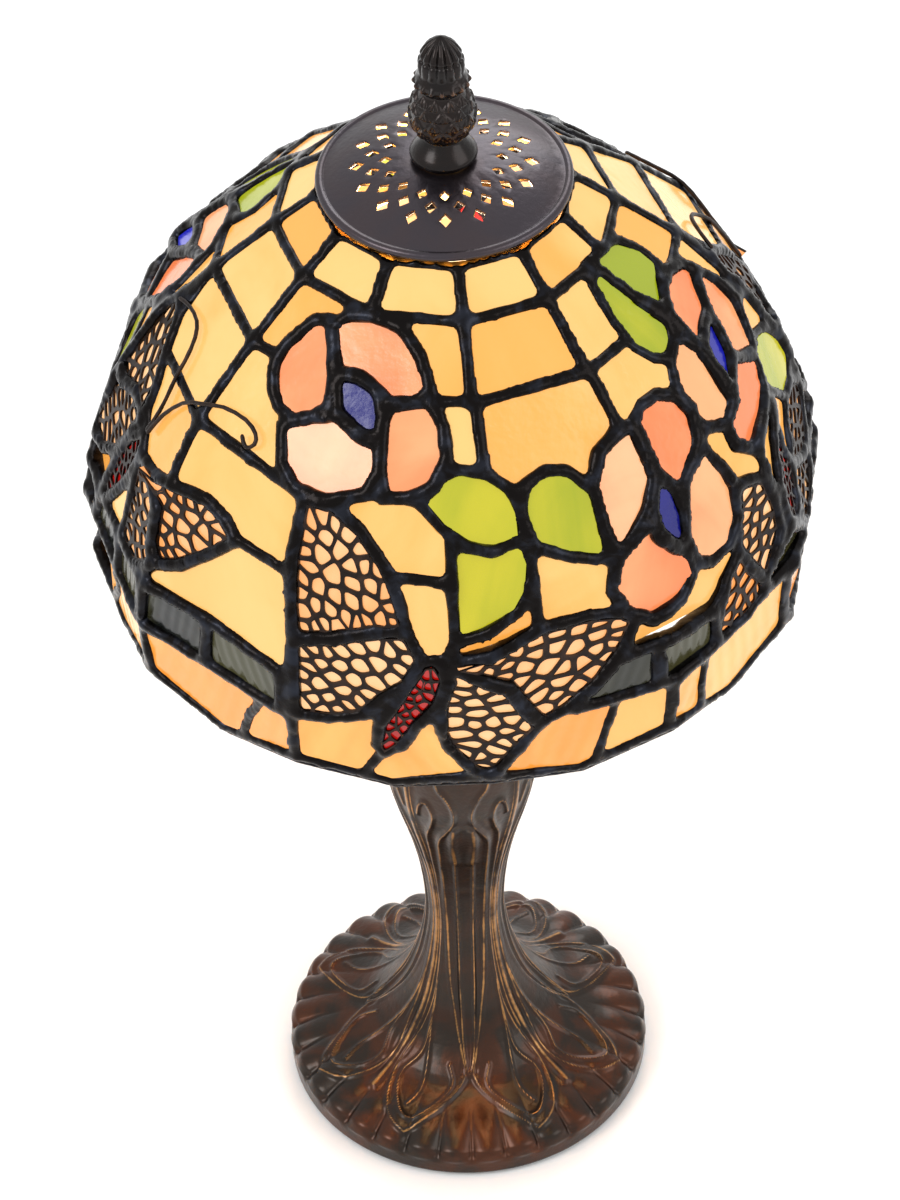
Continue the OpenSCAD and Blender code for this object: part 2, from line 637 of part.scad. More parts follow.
module socket_body()
    color([0.12, 0.11, 0.1])
        difference() {
            cylinder_between(14.4, shell_z - 2, contact_z - 2);
            for (side = [-1, 1])
                translate([side * 9, 0, shell_z - 3])
                    cylinder(r = 1.6, h = 12);
        }

module switch_block()
    color([0.12, 0.11, 0.1])
        difference() {
            translate([-5, -13, switch_z - 4])
                cube([10, 11, 8]);
            translate([0, -7.9, switch_z])
                rotate([90, 0, 0])
                    cylinder(r = 2.1 + fit, h = 8);
        }

// The switch turns a quarter at a time
module switch_shaft()
    color([0.8, 0.62, 0.3])
        translate([0, -8, switch_z])
            rotate([90, 0, 0])
                cylinder(r = 2.1, h = 18);

module switch_knob()
    color([0.15, 0.1, 0.08])
        difference() {
            translate([0, -20.5, switch_z])
                rotate([90, 0, 0])
                    union() {
                        cylinder(r = 5.5, h = 5);
                        translate([-8, -2, 2])
                            cube([16, 4, 8]);
                    }
            translate([0, -8, switch_z])
                rotate([90, 0, 0])
                    cylinder(r = 2.1, h = 18);
        }

module centre_contact()
    color([0.85, 0.65, 0.3])
        cylinder_between(3.5, contact_z - 2, contact_z - 0.3);

module terminal_screws()
    color([0.85, 0.68, 0.35])
        for (side = [-1, 1])
            translate([side * 9, 0, shell_z - 4.4]) {
                cylinder(r = 2.8, h = 1.4);
                cylinder(r = 1.55, h = 8);
            }

module screw_shell()
    color([0.8, 0.8, 0.78])
        tube(lamp_cap_r + 1.1, lamp_cap_r + 0.5, contact_z - 2, shell_top - 4);

module socket_liner()
    color([0.3, 0.24, 0.18])
        tube(socket_r - 0.7, socket_r - 1.3, shell_z + 2, shell_top - 1);

module socket_shell()
    color([0.8, 0.62, 0.3])
        tube(socket_r, socket_r - 0.6, socket_z + 18, shell_top);

// ---------------------------------------------------------------- bulb

module bulb_contact()
    color([0.6, 0.6, 0.58])
        cylinder_between(3.4, contact_z, contact_z + 2);

module bulb_insulator()
    color([0.08, 0.08, 0.1])
        difference() {
            translate([0, 0, contact_z + 1])
                rotate_extrude()
                    polygon([[0, 0], [5, 0], [10, 4], [10, 5], [0, 5]]);
            cylinder_between(3.4 + fit, contact_z - 1, contact_z + 2 + fit);
        }

module bulb_cap()
    color([0.78, 0.78, 0.76])
        translate([0, 0, contact_z + 6])
            rotate_extrude()
                polygon([[10, 0], [lamp_cap_r - 0.6, 1], [lamp_cap_r, 2.5], [lamp_cap_r, 20],
                         [lamp_cap_r - 0.5, 21.5], [lamp_cap_r - 1, 21.5], [lamp_cap_r - 1, 2], [10, 1]]);

module bulb_stem()
    color([0.85, 0.9, 0.9]) {
        cylinder_between(4, contact_z + 24, bulb_z - 14);
        cylinder_between(1.5, bulb_z - 15, bulb_z + 6);
        for (k = [0 : 5])
            rotate([0, 0, 60 * k])
                wire([1, 0, bulb_z - 14], [6, 0, bulb_z + 5], 0.5);
    }

BULB = [[lamp_cap_r - 1.1, 23.5], [lamp_cap_r - 1.1, 30], [14.5, 38], [20, 44.5]];
module bulb_glass()
    color([1, 0.95, 0.8, 0.5]) {
        outer = concat([for (q = BULB) [q[0], q[1] + contact_z]],
                       [for (a = [-25 : 11.5 : 90]) [bulb_r * cos(a), bulb_z + bulb_r * sin(a)]]);
        inner = [for (q = outer) [max(q[0] - 0.8, 0), q[1] > bulb_z ? q[1] - 0.8 : q[1]]];
        rotate_extrude()
            polygon(concat(outer, [for (k = [len(inner) - 1 : -1 : 0]) inner[k]]));
    }

// ---------------------------------------------------------------- base

// Outer line of the casting, from the plain band up the stem to its neck
FOOT = [[foot_r - 1.6, band_h + 4.2], [48, 13], [40, 15], [32, 18.4], [25, 24.5], [18.5, 34], [14.4, 46],
        [12.2, 58], [11.5, 70], [12.8, 86], [15.8, 101], [19.4, 115], [22.2, 129], [22.6, 143], [20.4, 157],
        [16.4, 171], [13, 182], [12, 188], [12.4, stem_top]];
function foot_line(grow) = concat([[0, felt_t], [foot_r + grow, felt_t], [foot_r + grow, band_h + 2]],
    [for (q = smooth(FOOT, 3)) [q[0] + grow, q[1] + grow * (q[0] > 20 && q[1] < 30 ? 1 : 0)]],
    [[0, stem_top]]);
plate_r = 50;

// The stem is cast hollow, with this much metal round the hollow
cast_wall = 3.2;
hollow_low = web_z + 5;
hollow_top = stem_top - 8;
module stem_hollow()
    rotate_extrude()
        polygon(concat([[0, hollow_low], [15, hollow_low]],
                       [for (q = smooth(FOOT, 3)) if (q[1] > 33 && q[1] < hollow_top) [q[0] - cast_wall, q[1]]],
                       [[0, hollow_top]]));

module leaf_outline(size)
    polygon([for (q = [[20, 0], [27, 4.5], [36, 8.2], [43, 8], [49, 4.6], [53.5, 0], [49, -4.6], [43, -8],
                       [36, -8.2], [27, -4.5]]) [38 + (q[0] - 38) * size, q[1] * size]]);

module base_casting()
    color([0.32, 0.18, 0.1])
        difference() {
            union() {
                rotate_extrude()
                    polygon(foot_line(0));
                intersection() {
                    rotate_extrude()
                        polygon(foot_line(0.9));
                    for (k = [0 : leaves_on_foot - 1])
                        rotate([0, 0, (k + 0.5) * 360 / leaves_on_foot])
                            translate([0, 0, band_h + 3])
                                linear_extrude(40)
                                    difference() {
                                        leaf_outline(1);
                                        leaf_outline(0.78);
                                    }
                }
            }
            // Hollow under the foot, with a flat web for the nut of the pipe and a boss for each screw
            difference() {
                rotate_extrude()
                    polygon([[0, 0], [plate_r + 0.2, 0], [plate_r + 0.2, 6.5], [43, 9], [33, 13], [25, 18],
                             [14, web_z], [0, web_z]]);
                at_screws()
                    cylinder_between(boss_r, felt_t + plate_t, web_z);
            }
            stem_hollow();
            at_screws()
                cylinder_between(screw_r + fit, 0, screw_top + 0.5);
            cylinder_between(pipe_r + thread_gap, web_z - 1, stem_top + 1);
            for (k = [0 : scallops - 1])
                rotate([0, 0, (k + 0.5) * 360 / scallops])
                    translate([foot_r + 1.5, 0, band_h])
                        cylinder(r = 3, h = 8, $fn = 24);
            translate([0, plate_r - 2, lead_z])
                rotate([-90, 0, 0])
                    cylinder(r = bush_r, h = 12);
        }

// The lead's hole, low at the back of the foot, is lined with a bush
lead_z = 5.4;
bush_r = 3.2;
bush_bore_r = 2.6;
module cord_grommet()
    color([0.1, 0.09, 0.09])
        difference() {
            union() {
                translate([0, plate_r + 0.3, lead_z])
                    rotate([-90, 0, 0])
                        cylinder(r = bush_r, h = foot_r - plate_r - 0.2);
                translate([0, foot_r + 0.1, lead_z])
                    rotate([-90, 0, 0])
                        cylinder(r = bush_r + 0.5, h = 1);
            }
            translate([0, plate_r - 1, lead_z])
                rotate([-90, 0, 0])
                    cylinder(r = bush_bore_r, h = 12);
        }

plate_t = 1;
screw_r = 1.5;
screw_top = 8;
boss_r = 3.5;
module at_screws()
    for (k = [0 : 2])
        rotate([0, 0, 120 * k - 30])
            translate([screw_ring_r, 0, 0])
                children();

module felt_pad()
    color([0.12, 0.2, 0.14])
        cylinder_between(foot_r - 2, 0, felt_t);

module bottom_plate()
    color([0.35, 0.33, 0.3])
        difference() {
            cylinder_between(plate_r, felt_t, felt_t + plate_t);
            at_screws()
                cylinder_between(screw_r + 0.2, 0, 5);
        }

module ballast_disc()
    color([0.25, 0.25, 0.26])
        difference() {
            cylinder_between(46, felt_t + plate_t, felt_t + plate_t + 4);
            cylinder_between(14, 0, 10);
            at_screws()
                cylinder_between(boss_r + 0.4, 0, 10);
            translate([0, 46, felt_t + plate_t])
                cube([14, 24, 12], center = true);
        }

module plate_screws()
    color([0.7, 0.6, 0.4])
        at_screws()
            cylinder_between(screw_r, felt_t, screw_top);

module threaded_pipe()
    color([0.75, 0.6, 0.35])
        tube(pipe_r, pipe_bore_r, web_z - 10, pipe_top);

module pipe_washer()
    color([0.6, 0.6, 0.6])
        tube(11, pipe_r + thread_gap, web_z - 1.6, web_z);

module pipe_nut()
    color([0.6, 0.6, 0.6])
        difference() {
            cylinder_polygon(8.6, web_z - 6.6, web_z - 1.6);
            cylinder_between(pipe_r + fit, web_z - 8, web_z);
        }

module cylinder_polygon(r, low_z, high_z)
    translate([0, 0, low_z])
        cylinder(r = r, h = high_z - low_z, $fn = 6);

felt_pad();
base_casting();
ballast_disc();
bottom_plate();
plate_screws();
cord_grommet();
threaded_pipe();
pipe_washer();
pipe_nut();
check_ring();
harp_saddle();
saddle_nut();
harp();
harp_stud();
socket_cap();
socket_body();
switch_block();
switch_shaft();
switch_knob();
centre_contact();
terminal_screws();
screw_shell();
socket_liner();
socket_shell();
bulb_contact();
bulb_insulator();
bulb_cap();
bulb_stem();
bulb_glass();
glass_cream_upper();
glass_cream_middle();
glass_cream_lower();
glass_petals();
glass_flower_centres();
glass_leaves();
glass_branch();
glass_wings();
glass_bodies();
wing_filigree();
body_filigree();
antennae();
solder_seams();
rim_wire();
vented_cap();
cap_ring();
finial_washer();
finial_insert();
finial();
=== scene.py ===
# %% [markdown]
# # A leaded glass table lamp
#
# The lamp is a dome of flat glass panes soldered together, carried by a cast bronze base. The packed
# CAD model is the frame: it fixes every size and place. This script keeps the CAD parts that already
# look right, and builds finer pieces over the ones that were only roughed out.

# %% Load the frame
import math
import random

import bmesh
import bpy
import numpy as np
from mathutils import Matrix, Vector, noise
from mathutils.bvhtree import BVHTree
from mathutils.kdtree import KDTree
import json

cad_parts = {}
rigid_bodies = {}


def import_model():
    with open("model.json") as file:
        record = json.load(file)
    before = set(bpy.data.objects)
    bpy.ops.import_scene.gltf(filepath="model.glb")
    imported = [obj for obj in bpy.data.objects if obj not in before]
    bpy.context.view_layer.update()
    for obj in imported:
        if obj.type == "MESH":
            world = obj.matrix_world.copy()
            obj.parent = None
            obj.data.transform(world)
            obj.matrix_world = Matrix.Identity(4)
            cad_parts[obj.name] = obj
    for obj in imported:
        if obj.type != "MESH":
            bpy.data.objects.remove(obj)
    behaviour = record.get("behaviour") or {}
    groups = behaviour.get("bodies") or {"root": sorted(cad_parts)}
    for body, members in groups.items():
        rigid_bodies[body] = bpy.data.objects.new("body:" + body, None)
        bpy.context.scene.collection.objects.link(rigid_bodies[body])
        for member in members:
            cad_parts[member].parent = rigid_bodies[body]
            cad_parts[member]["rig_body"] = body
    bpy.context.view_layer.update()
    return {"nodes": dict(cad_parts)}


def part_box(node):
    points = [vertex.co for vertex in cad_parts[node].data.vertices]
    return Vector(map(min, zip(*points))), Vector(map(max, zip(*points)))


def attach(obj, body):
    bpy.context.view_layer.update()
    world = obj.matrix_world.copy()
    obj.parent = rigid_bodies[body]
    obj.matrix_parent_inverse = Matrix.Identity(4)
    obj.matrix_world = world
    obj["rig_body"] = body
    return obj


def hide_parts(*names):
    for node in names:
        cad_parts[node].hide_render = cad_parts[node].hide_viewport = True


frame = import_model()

MM = 0.001

# %% [markdown]
# ## The view
#
# The lamp is seen from the front and well above, from about a metre and a half away, with a long
# lens. A long lens keeps the shade's ellipse and the foot's ellipse nearly alike, as a short one
# would not. The camera's turn is worked out from three angles: yaw, pitch down, and a slight roll.

# %% Camera
CAMERA_PLACE = Vector((0, -0.946, 1.125))
YAW = math.radians(-0.11)
PITCH = math.radians(44.5)
ROLL = math.radians(-1.7)
LENS = 138

forward = Vector((math.sin(YAW) * math.cos(PITCH), math.cos(YAW) * math.cos(PITCH), -math.sin(PITCH)))
level_right = Vector((math.cos(YAW), -math.sin(YAW), 0))
level_up = level_right.cross(forward)
right = level_right * math.cos(ROLL) + level_up * math.sin(ROLL)
up = level_up * math.cos(ROLL) - level_right * math.sin(ROLL)
turn = Matrix((right, up, -forward)).transposed()

camera = bpy.data.objects.new("camera", bpy.data.cameras.new("camera"))
camera.data.lens = LENS
camera.data.sensor_fit = "VERTICAL"
camera.data.sensor_height = 36
camera.matrix_world = Matrix.Translation(CAMERA_PLACE) @ turn.to_4x4()
bpy.context.scene.collection.objects.link(camera)
bpy.context.scene.camera = camera
print("camera looks down at", round(math.degrees(PITCH), 1), "degrees")

# %% [markdown]
# ## Writing materials as sums
#
# A material is a graph of nodes. Building one by hand means naming each node and joining each
# socket, which hides what is being worked out. This small class wraps an output socket, so that
# `1 - mask` or `grain * 0.2 + base` adds the Math nodes by itself. Every other node comes from the
# one method `node`, which takes the node's type, its settings and what goes into its sockets.

# %% The socket class
class Wire:
    """The output of a shader node, which can be used in sums."""

    def __init__(self, tree, socket):
        self.tree = tree
        self.socket = socket

    def node(self, kind, settings=None, inputs=None, out=0):
        made = self.tree.nodes.new("ShaderNode" + kind)
        for name, value in (settings or {}).items():
            if name == "stops":
                fill_ramp(made.color_ramp, value)
            else:
                setattr(made, name, value)
        for name, value in (inputs or {}).items():
            if isinstance(value, Wire):
                self.tree.links.new(value.socket, made.inputs[name])
            else:
                made.inputs[name].default_value = value
        return Wire(self.tree, made.outputs[out])

    def maths(self, operation, first, second):
        return self.node("Math", {"operation": operation}, {0: first, 1: second})

    def __add__(self, other):
        return self.maths("ADD", self, other)

    def __radd__(self, other):
        return self.maths("ADD", other, self)

    def __sub__(self, other):
        return self.maths("SUBTRACT", self, other)

    def __rsub__(self, other):
        return self.maths("SUBTRACT", other, self)

    def __mul__(self, other):
        return self.maths("MULTIPLY", self, other)

    def __rmul__(self, other):
        return self.maths("MULTIPLY", other, self)

    def eased(self, low, high):
        """0 below low, 1 above high and a smooth rise between."""
        return self.node("MapRange", {"interpolation_type": "SMOOTHSTEP"},
                         {"Value": self, "From Min": low, "From Max": high})

    def between(self, first, second):
        """A colour: first where this value is 0, second where it is 1."""
        return self.node("Mix", {"data_type": "RGBA"}, {0: self, 6: first, 7: second}, out=2)


def fill_ramp(ramp, stops):
    """Gives a colour ramp its stops: pairs of a position and a colour."""
    while len(ramp.elements) < len(stops):
        ramp.elements.new(1)
    for element, (position, colour) in zip(ramp.elements, stops):
        element.position = position
        element.color = colour


print("sums on sockets:", [name for name in vars(Wire) if name.startswith("__r")])

# %% [markdown]
# A material starts from the place of each point, in metres, and ends at a Principled shader. Noise
# is the workhorse between the two: cloudy at one scale, gritty at another. Colours are written as
# they look on a screen and are turned into the linear light that the shader works in.

# %% Start and end of a material
def linear(red, green, blue):
    """A colour as seen on a screen, 0 to 255, as linear light."""
    return (*[((v / 255 + 0.055) / 1.055) ** 2.4 if v > 10 else v / 3295 for v in (red, green, blue)], 1)


def new_finish(name):
    """An empty material, and the Wire that holds each point's place."""
    material = bpy.data.materials.new(name)
    material.use_nodes = True
    material.node_tree.nodes.clear()
    place = Wire(material.node_tree, None).node("TexCoord", out=3)
    return material, place


def cloud(place, scale, detail=3, stretch=None, distortion=0):
    """Noise from 0 to 1, with features about 1 / scale metres wide."""
    if stretch:
        place = place.node("Mapping", None, {"Vector": place, "Scale": stretch})
    return place.node("TexNoise", None, {"Vector": place, "Scale": scale, "Detail": detail,
                                         "Distortion": distortion})


def attribute(place, name):
    """A value that the piece's own mesh carries."""
    return place.node("Attribute", {"attribute_name": name}, out=2)


def bump(place, height, distance, strength=1.0):
    """The normal of a surface with this relief, whose full height is distance in metres."""
    return place.node("Bump", None, {"Height": height, "Distance": distance, "Strength": strength})


def close_finish(material, place, sockets):
    """Ends a material with a Principled shader whose sockets take these values and Wires."""
    shader = place.node("BsdfPrincipled", None, sockets)
    end = place.tree.nodes.new("ShaderNodeOutputMaterial")
    place.tree.links.new(shader.socket, end.inputs["Surface"])
    return material


# %% [markdown]
# ## Metals
#
# The fittings inside the lamp are plain brass, steel, iron and aluminium. Each is a metal with two
# tones, cloudy tarnish, a little grit in its roughness and fine scratches, so one function makes
# them all. What differs is the colours and how polished the piece is.

# %% Metals and other plain stuffs
def stuff(name, light, dark, rough, metallic=1.0, grain=900, relief=0.00004):
    """A material of two tones with cloudy patches and fine grit."""
    material, place = new_finish(name)
    patches = cloud(place, 90, 4)
    grit = cloud(place, grain, 2)
    tone = patches.eased(0.35, 0.7)
    return close_finish(material, place, {
        "Base Color": tone.between(linear(*dark), linear(*light)),
        "Metallic": metallic,
        "Roughness": rough + (grit - 0.5) * 0.25 + (1 - tone) * 0.1,
        "Normal": bump(place, grit, relief, 0.6)})


STUFFS = {
    "brass": stuff("brass", (196, 160, 92), (150, 112, 56), 0.3),
    "steel": stuff("steel", (190, 190, 186), (130, 130, 128), 0.35),
    "iron": stuff("iron", (92, 92, 94), (58, 58, 60), 0.6),
    "socket_aluminium": stuff("socket_aluminium", (200, 200, 196), (160, 160, 156), 0.3),
    "phenolic": stuff("phenolic", (36, 30, 26), (20, 17, 15), 0.4, metallic=0),
    "switch_black": stuff("switch_black", (40, 30, 24), (22, 18, 15), 0.3, metallic=0),
    "bush_rubber": stuff("bush_rubber", (34, 33, 32), (22, 22, 22), 0.7, metallic=0),
    "liner_card": stuff("liner_card", (120, 98, 70), (92, 72, 50), 0.85, metallic=0),
}
print(len(STUFFS), "plain stuffs")

# %% [markdown]
# Felt is a mat of fibres. Seen from near it is fuzzy and uneven, and it never shines. Its relief is
# fine noise, stretched a little, and its sheen is set on the shader's own socket.

# %% Felt
def felt_finish():
    material, place = new_finish("felt")
    fibres = cloud(place, 1400, 5, stretch=(1, 0.4, 1), distortion=1.5)
    patches = cloud(place, 60, 3)
    return close_finish(material, place, {
        "Base Color": (fibres * 0.7 + patches * 0.3).between(linear(18, 34, 22), linear(52, 84, 58)),
        "Roughness": 0.95,
        "Sheen Weight": 0.4,
        "Normal": bump(place, fibres, 0.0003)})


STUFFS["felt"] = felt_finish()
print("felt has a pile 0.3 mm deep")

# %% [markdown]
# ## The glass
#
# Art glass is rolled while two or more colours are still running into each other, so a pane has
# streaks in one direction and soft clouds between them. It scatters light instead of letting it
# through clearly. The bulb's light shining through it is painted on as the glass's own glow, warmer
# on panes far from the bulb and whiter on near ones. Each pane is cut from its own corner of
# the sheet, turned its own way. So every pane carries a flat map, `pane`, laid in its own plane
# with its own turn and shift, and a value, `tone`, that says how pale its sheet was.

# %% The glass
def glass_finish(name, pale, deep, glow=0.8, streak=0.5, ribs=0.0):
    """Glass that runs from pale to deep, with the bulb's light through it painted on as a glow of strength
    glow.
    """
    material, place = new_finish(name)
    sheet = place.node("UVMap", {"uv_map": "pane"})
    tone = attribute(place, "tone")
    streaks = cloud(sheet, 34, 5, stretch=(1, 0.16, 1), distortion=0.8)
    clouds = cloud(sheet, 26, 3, distortion=1.2)
    mix = (streaks * streak + clouds * (1 - streak) + (tone - 0.5) * 0.35).eased(0.3, 0.72)
    colour = mix.between(linear(*deep), linear(*pale))
    dimmed = place.node("Mix", {"data_type": "RGBA"}, {0: 0.74, 6: colour, 7: (0, 0, 0, 1)}, out=2)
    # painted light: the bulb's light through the glass, a tint that is warm on panes far from the bulb and
    # whiter on near ones, multiplied into the glass colour and painted on as its glow
    painted_glow_tint = attribute(place, "lit").between(linear(255, 206, 140), linear(255, 250, 238))
    painted_glow_colour = place.node("Mix", {"data_type": "RGBA", "blend_type": "MULTIPLY"},
                         {0: 1.0, 6: colour, 7: painted_glow_tint}, out=2)
    seeds = cloud(sheet, 420, 2)
    relief = cloud(sheet, 55, 3, distortion=1.0) * 0.8 + seeds * 0.2
    if ribs:
        waves = place.node("TexWave", {"wave_type": "BANDS", "bands_direction": "X"},
                           {"Vector": sheet, "Scale": ribs, "Distortion": 1.5, "Detail": 1.0}, out=1)
        relief = relief + waves * 0.5
    return close_finish(material, place, {
        "Base Color": dimmed,
        "Roughness": 0.12 + seeds * 0.12,
        "Coat Weight": 0.25,
        "Coat Roughness": 0.08,
        "Emission Color": painted_glow_colour,
        "Emission Strength": glow,
        "Normal": bump(place, relief, 0.0006, 0.5)})


# glow: strength of the bulb's light painted on each glass as its own glow
GLASSES = {
    "glass_cream": glass_finish("glass_cream", (255, 216, 142), (252, 188, 94), glow=0.86),
    "glass_amber_row": glass_finish("glass_amber_row", (255, 204, 118), (248, 168, 66), glow=0.84, ribs=60),
    "glass_peach": glass_finish("glass_peach", (255, 196, 150), (250, 146, 96), glow=0.84),
    "glass_blue": glass_finish("glass_blue", (26, 36, 222), (6, 10, 130), glow=0.9),
    "glass_green": glass_finish("glass_green", (206, 212, 40), (158, 184, 22), glow=0.8, streak=0.7),
    "glass_moss": glass_finish("glass_moss", (88, 92, 62), (8, 16, 14), glow=0.3, streak=0.85, ribs=90),
    "glass_amber": glass_finish("glass_amber", (255, 222, 184), (250, 178, 112), glow=0.95),
    "glass_red": glass_finish("glass_red", (226, 30, 16), (150, 8, 6), glow=1.0),
}
print(len(GLASSES), "glasses")

# %% [markdown]
# ## Blackened solder
#
# The seams are lead and tin, washed with a patina that turns them blue black. Solder freezes in
# lumps, so it glints in many small places. The finish is a dark metal whose roughness changes from
# lump to lump, with a bluish bloom in patches.

# %% Solder and dark bronze
def solder_finish():
    material, place = new_finish("solder")
    bloom = cloud(place, 160, 4, distortion=0.6)
    grit = cloud(place, 1200, 2)
    tone = bloom.eased(0.45, 0.75)
    return close_finish(material, place, {
        "Base Color": tone.between(linear(16, 12, 11), linear(38, 41, 50)),
        "Metallic": 0.85,
        "Roughness": 0.14 + bloom * 0.26,
        "Normal": bump(place, bloom * 0.8 + grit * 0.2, 0.0004, 0.5)})


def overlay_finish():
    """The etched plates over the wings, blackened like the seams but flat and dull."""
    material, place = new_finish("overlay")
    bloom = cloud(place, 300, 3)
    return close_finish(material, place, {
        "Base Color": bloom.eased(0.4, 0.8).between(linear(26, 15, 10), linear(56, 38, 28)),
        "Metallic": 0.6,
        "Roughness": 0.3 + bloom * 0.25,
        "Normal": bump(place, bloom, 0.0002, 0.5)})


def dark_bronze(name, body_tone, patch_tone, worn_tone, rough):
    """Bronze with a dark patina, redder near the foot, rubbed back to metal where the mesh is worn."""
    material, place = new_finish(name)
    patches = cloud(place, 70, 4, distortion=0.5)
    grit = cloud(place, 700, 3)
    breaks = cloud(place, 150, 3)
    height = place.node("SeparateXYZ", None, {"Vector": place}, out=2)
    low_down = 1 - height.eased(0.01, 0.04)
    rubbed = (attribute(place, "wear") * (0.05 + breaks + grit * 0.4)).eased(0.4, 0.8)
    redness = patches.eased(0.4, 0.62) * (low_down * 0.75 + 0.25)
    under = redness.between(linear(*body_tone), linear(*patch_tone))
    return close_finish(material, place, {
        "Base Color": rubbed.between(under, linear(*worn_tone)),
        "Metallic": 0.9,
        "Roughness": rough + grit * 0.18 - rubbed * 0.08,
        "Coat Weight": 0.35,
        "Coat Roughness": 0.2,
        "Normal": bump(place, grit, 0.00018, 0.6)})


METALS = {
    "seam": solder_finish(),
    "overlay": overlay_finish(),
    "bronze": dark_bronze("bronze", (40, 31, 24), (70, 36, 16), (164, 118, 66), 0.28),
    "cap_bronze": dark_bronze("cap_bronze", (62, 56, 62), (74, 58, 56), (110, 88, 76), 0.24),
    "finial_bronze": dark_bronze("finial_bronze", (20, 15, 14), (44, 27, 19), (96, 68, 50), 0.16),
}
print(len(METALS), "worked metals")

# %% [markdown]
# ## Taking shapes from the frame
#
# A CAD part arrives as loose triangles. A copy of it, merged point by point, is a proper shell that
# can be bevelled, cut or measured. Flat faces are joined up again, because a bevel needs whole
# edges. These helpers start most of the pieces below.

# %% Copies of CAD parts
NODES = frame["nodes"]


def merged_copy(name):
    """The CAD part as one closed shell, with its flat faces whole."""
    shell = bmesh.new()
    shell.from_mesh(NODES[name].data)
    bmesh.ops.remove_doubles(shell, verts=shell.verts, dist=0.004 * MM)
    bmesh.ops.dissolve_limit(shell, angle_limit=math.radians(0.5), verts=shell.verts, edges=shell.edges)
    return shell


def islands(shell):
    """The separate solids of a shell, each a list of faces."""
    left = set(shell.faces)
    found = []
    while left:
        first = next(f for f in shell.faces if f in left)
        left.discard(first)
        solid, edge_of_search = [first], [first]
        while edge_of_search:
            face = edge_of_search.pop()
            for near in (other for edge in face.edges for other in edge.link_faces):
                if near in left:
                    left.discard(near)
                    solid.append(near)
                    edge_of_search.append(near)
        found.append(solid)
    return found


def finish_piece(name, source, body, material, replaces=(), smooth_under=50):
    """Turns a bmesh or a mesh into a piece that rides on a body and stands for CAD nodes."""
    if isinstance(source, bmesh.types.BMesh):
        mesh = bpy.data.meshes.new(name)
        source.to_mesh(mesh)
        source.free()
    else:
        mesh = source
    mesh.materials.clear()
    mesh.materials.append(material)
    for polygon in mesh.polygons:
        polygon.use_smooth = True
    mesh.set_sharp_from_angle(angle=math.radians(smooth_under))
    piece = bpy.data.objects.new(name, mesh)
    bpy.context.scene.collection.objects.link(piece)
    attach(piece, body)
    if replaces:
        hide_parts(*replaces)
    print(f"{name}: {len(mesh.vertices)} points, {len(mesh.polygons)} faces")
    return piece


# %% [markdown]
# ## Panes
#
# Each pane of the CAD model is a flat prism, and that is the right shape. What it lacks is the map
# of its own sheet. For every pane the largest outward face gives the plane, a seeded draw gives the
# turn and shift of the sheet, and the distance to the bulb gives how white the bulb's painted glow
# is on the pane.

# %% Panes
draw = random.Random(12)
bulb_low, bulb_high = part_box("bulb_glass")
bulb_centre = (bulb_low + bulb_high) / 2
PANES = [("glass_cream_upper", "glass_cream", "glass_cream"),
         ("glass_cream_middle", "glass_cream", "glass_cream"),
         ("glass_cream_lower", "glass_amber_row", "glass_cream"),
         ("glass_petals", "glass_peach", "glass_peach"),
         ("glass_flower_centres", "glass_blue", "glass_blue"),
         ("glass_leaves", "glass_green", "glass_green"),
         ("glass_branch", "glass_moss", "glass_moss"),
         ("glass_wings", "glass_amber", "glass_amber"),
         ("glass_bodies", "glass_red", "glass_red")]


def outer_face(solid):
    """The widest face of a pane that looks away from the middle of the lamp."""
    def outward(face):
        return face.normal.dot(face.calc_center_median() - bulb_centre) > 0
    return max((f for f in solid if outward(f)), key=lambda f: f.calc_area())


def face_axes(face):
    """Two directions in the plane of a face, the second one as upright as it can be."""
    across = Vector((0, 0, 1)).cross(face.normal).normalized()
    return across, face.normal.cross(across)


def map_pane(shell, solid, sheet, tone, lit):
    """Lays the pane's own piece of the glass sheet over it."""
    face = outer_face(solid)
    middle = face.calc_center_median()
    across, upright = face_axes(face)
    turned_by = Matrix.Rotation(draw.uniform(-0.5, 0.5), 2)
    shift = Vector((draw.uniform(0, 3), draw.uniform(0, 3)))
    pale = draw.random()
    reach = (middle - bulb_centre).length
    # painted light: how white the bulb's painted glow is on this pane, more the nearer the pane is to the
    # bulb
    brightness = min(1.0, max(0.0, 1.25 - reach / 0.11))
    for part in solid:
        for loop in part.loops:
            arm = loop.vert.co - middle
            on_the_plane = Vector((arm.dot(across), arm.dot(upright)))
            loop[sheet].uv = turned_by @ on_the_plane + shift
            loop.vert[tone] = pale
            loop.vert[lit] = brightness


for node, glass, slot in PANES:
    shell = merged_copy(node)
    sheet = shell.loops.layers.uv.new("pane")
    tone = shell.verts.layers.float.new("tone")
    lit = shell.verts.layers.float.new("lit")
    for solid in islands(shell):
        map_pane(shell, solid, sheet, tone, lit)
    finish_piece("pane_" + node, shell, "shade", GLASSES[glass], [node], 30)

# %% [markdown]
# ## Solder
#
# On the bench each pane is edged with copper foil and its neighbours are joined by running solder
# along the gap. The bead is round, lumpy, and fattest where seams meet. The CAD model has the
# network as a square-edged lattice. Rebuilding it from small even cells and smoothing those lets
# the edges flow together, which no bevel on such a lattice would do. After that every point moves
# a little along its normal: in and out with noise, and outwards near the flowers and wings, where
# the seams are broad.

# %% Solder helpers
SEAM_CELL = 0.95 * MM
SWELL = 0.22 * MM
LUMP = 0.35 * MM
SMALL_LUMP = 0.12 * MM
WIDE = 0.6 * MM


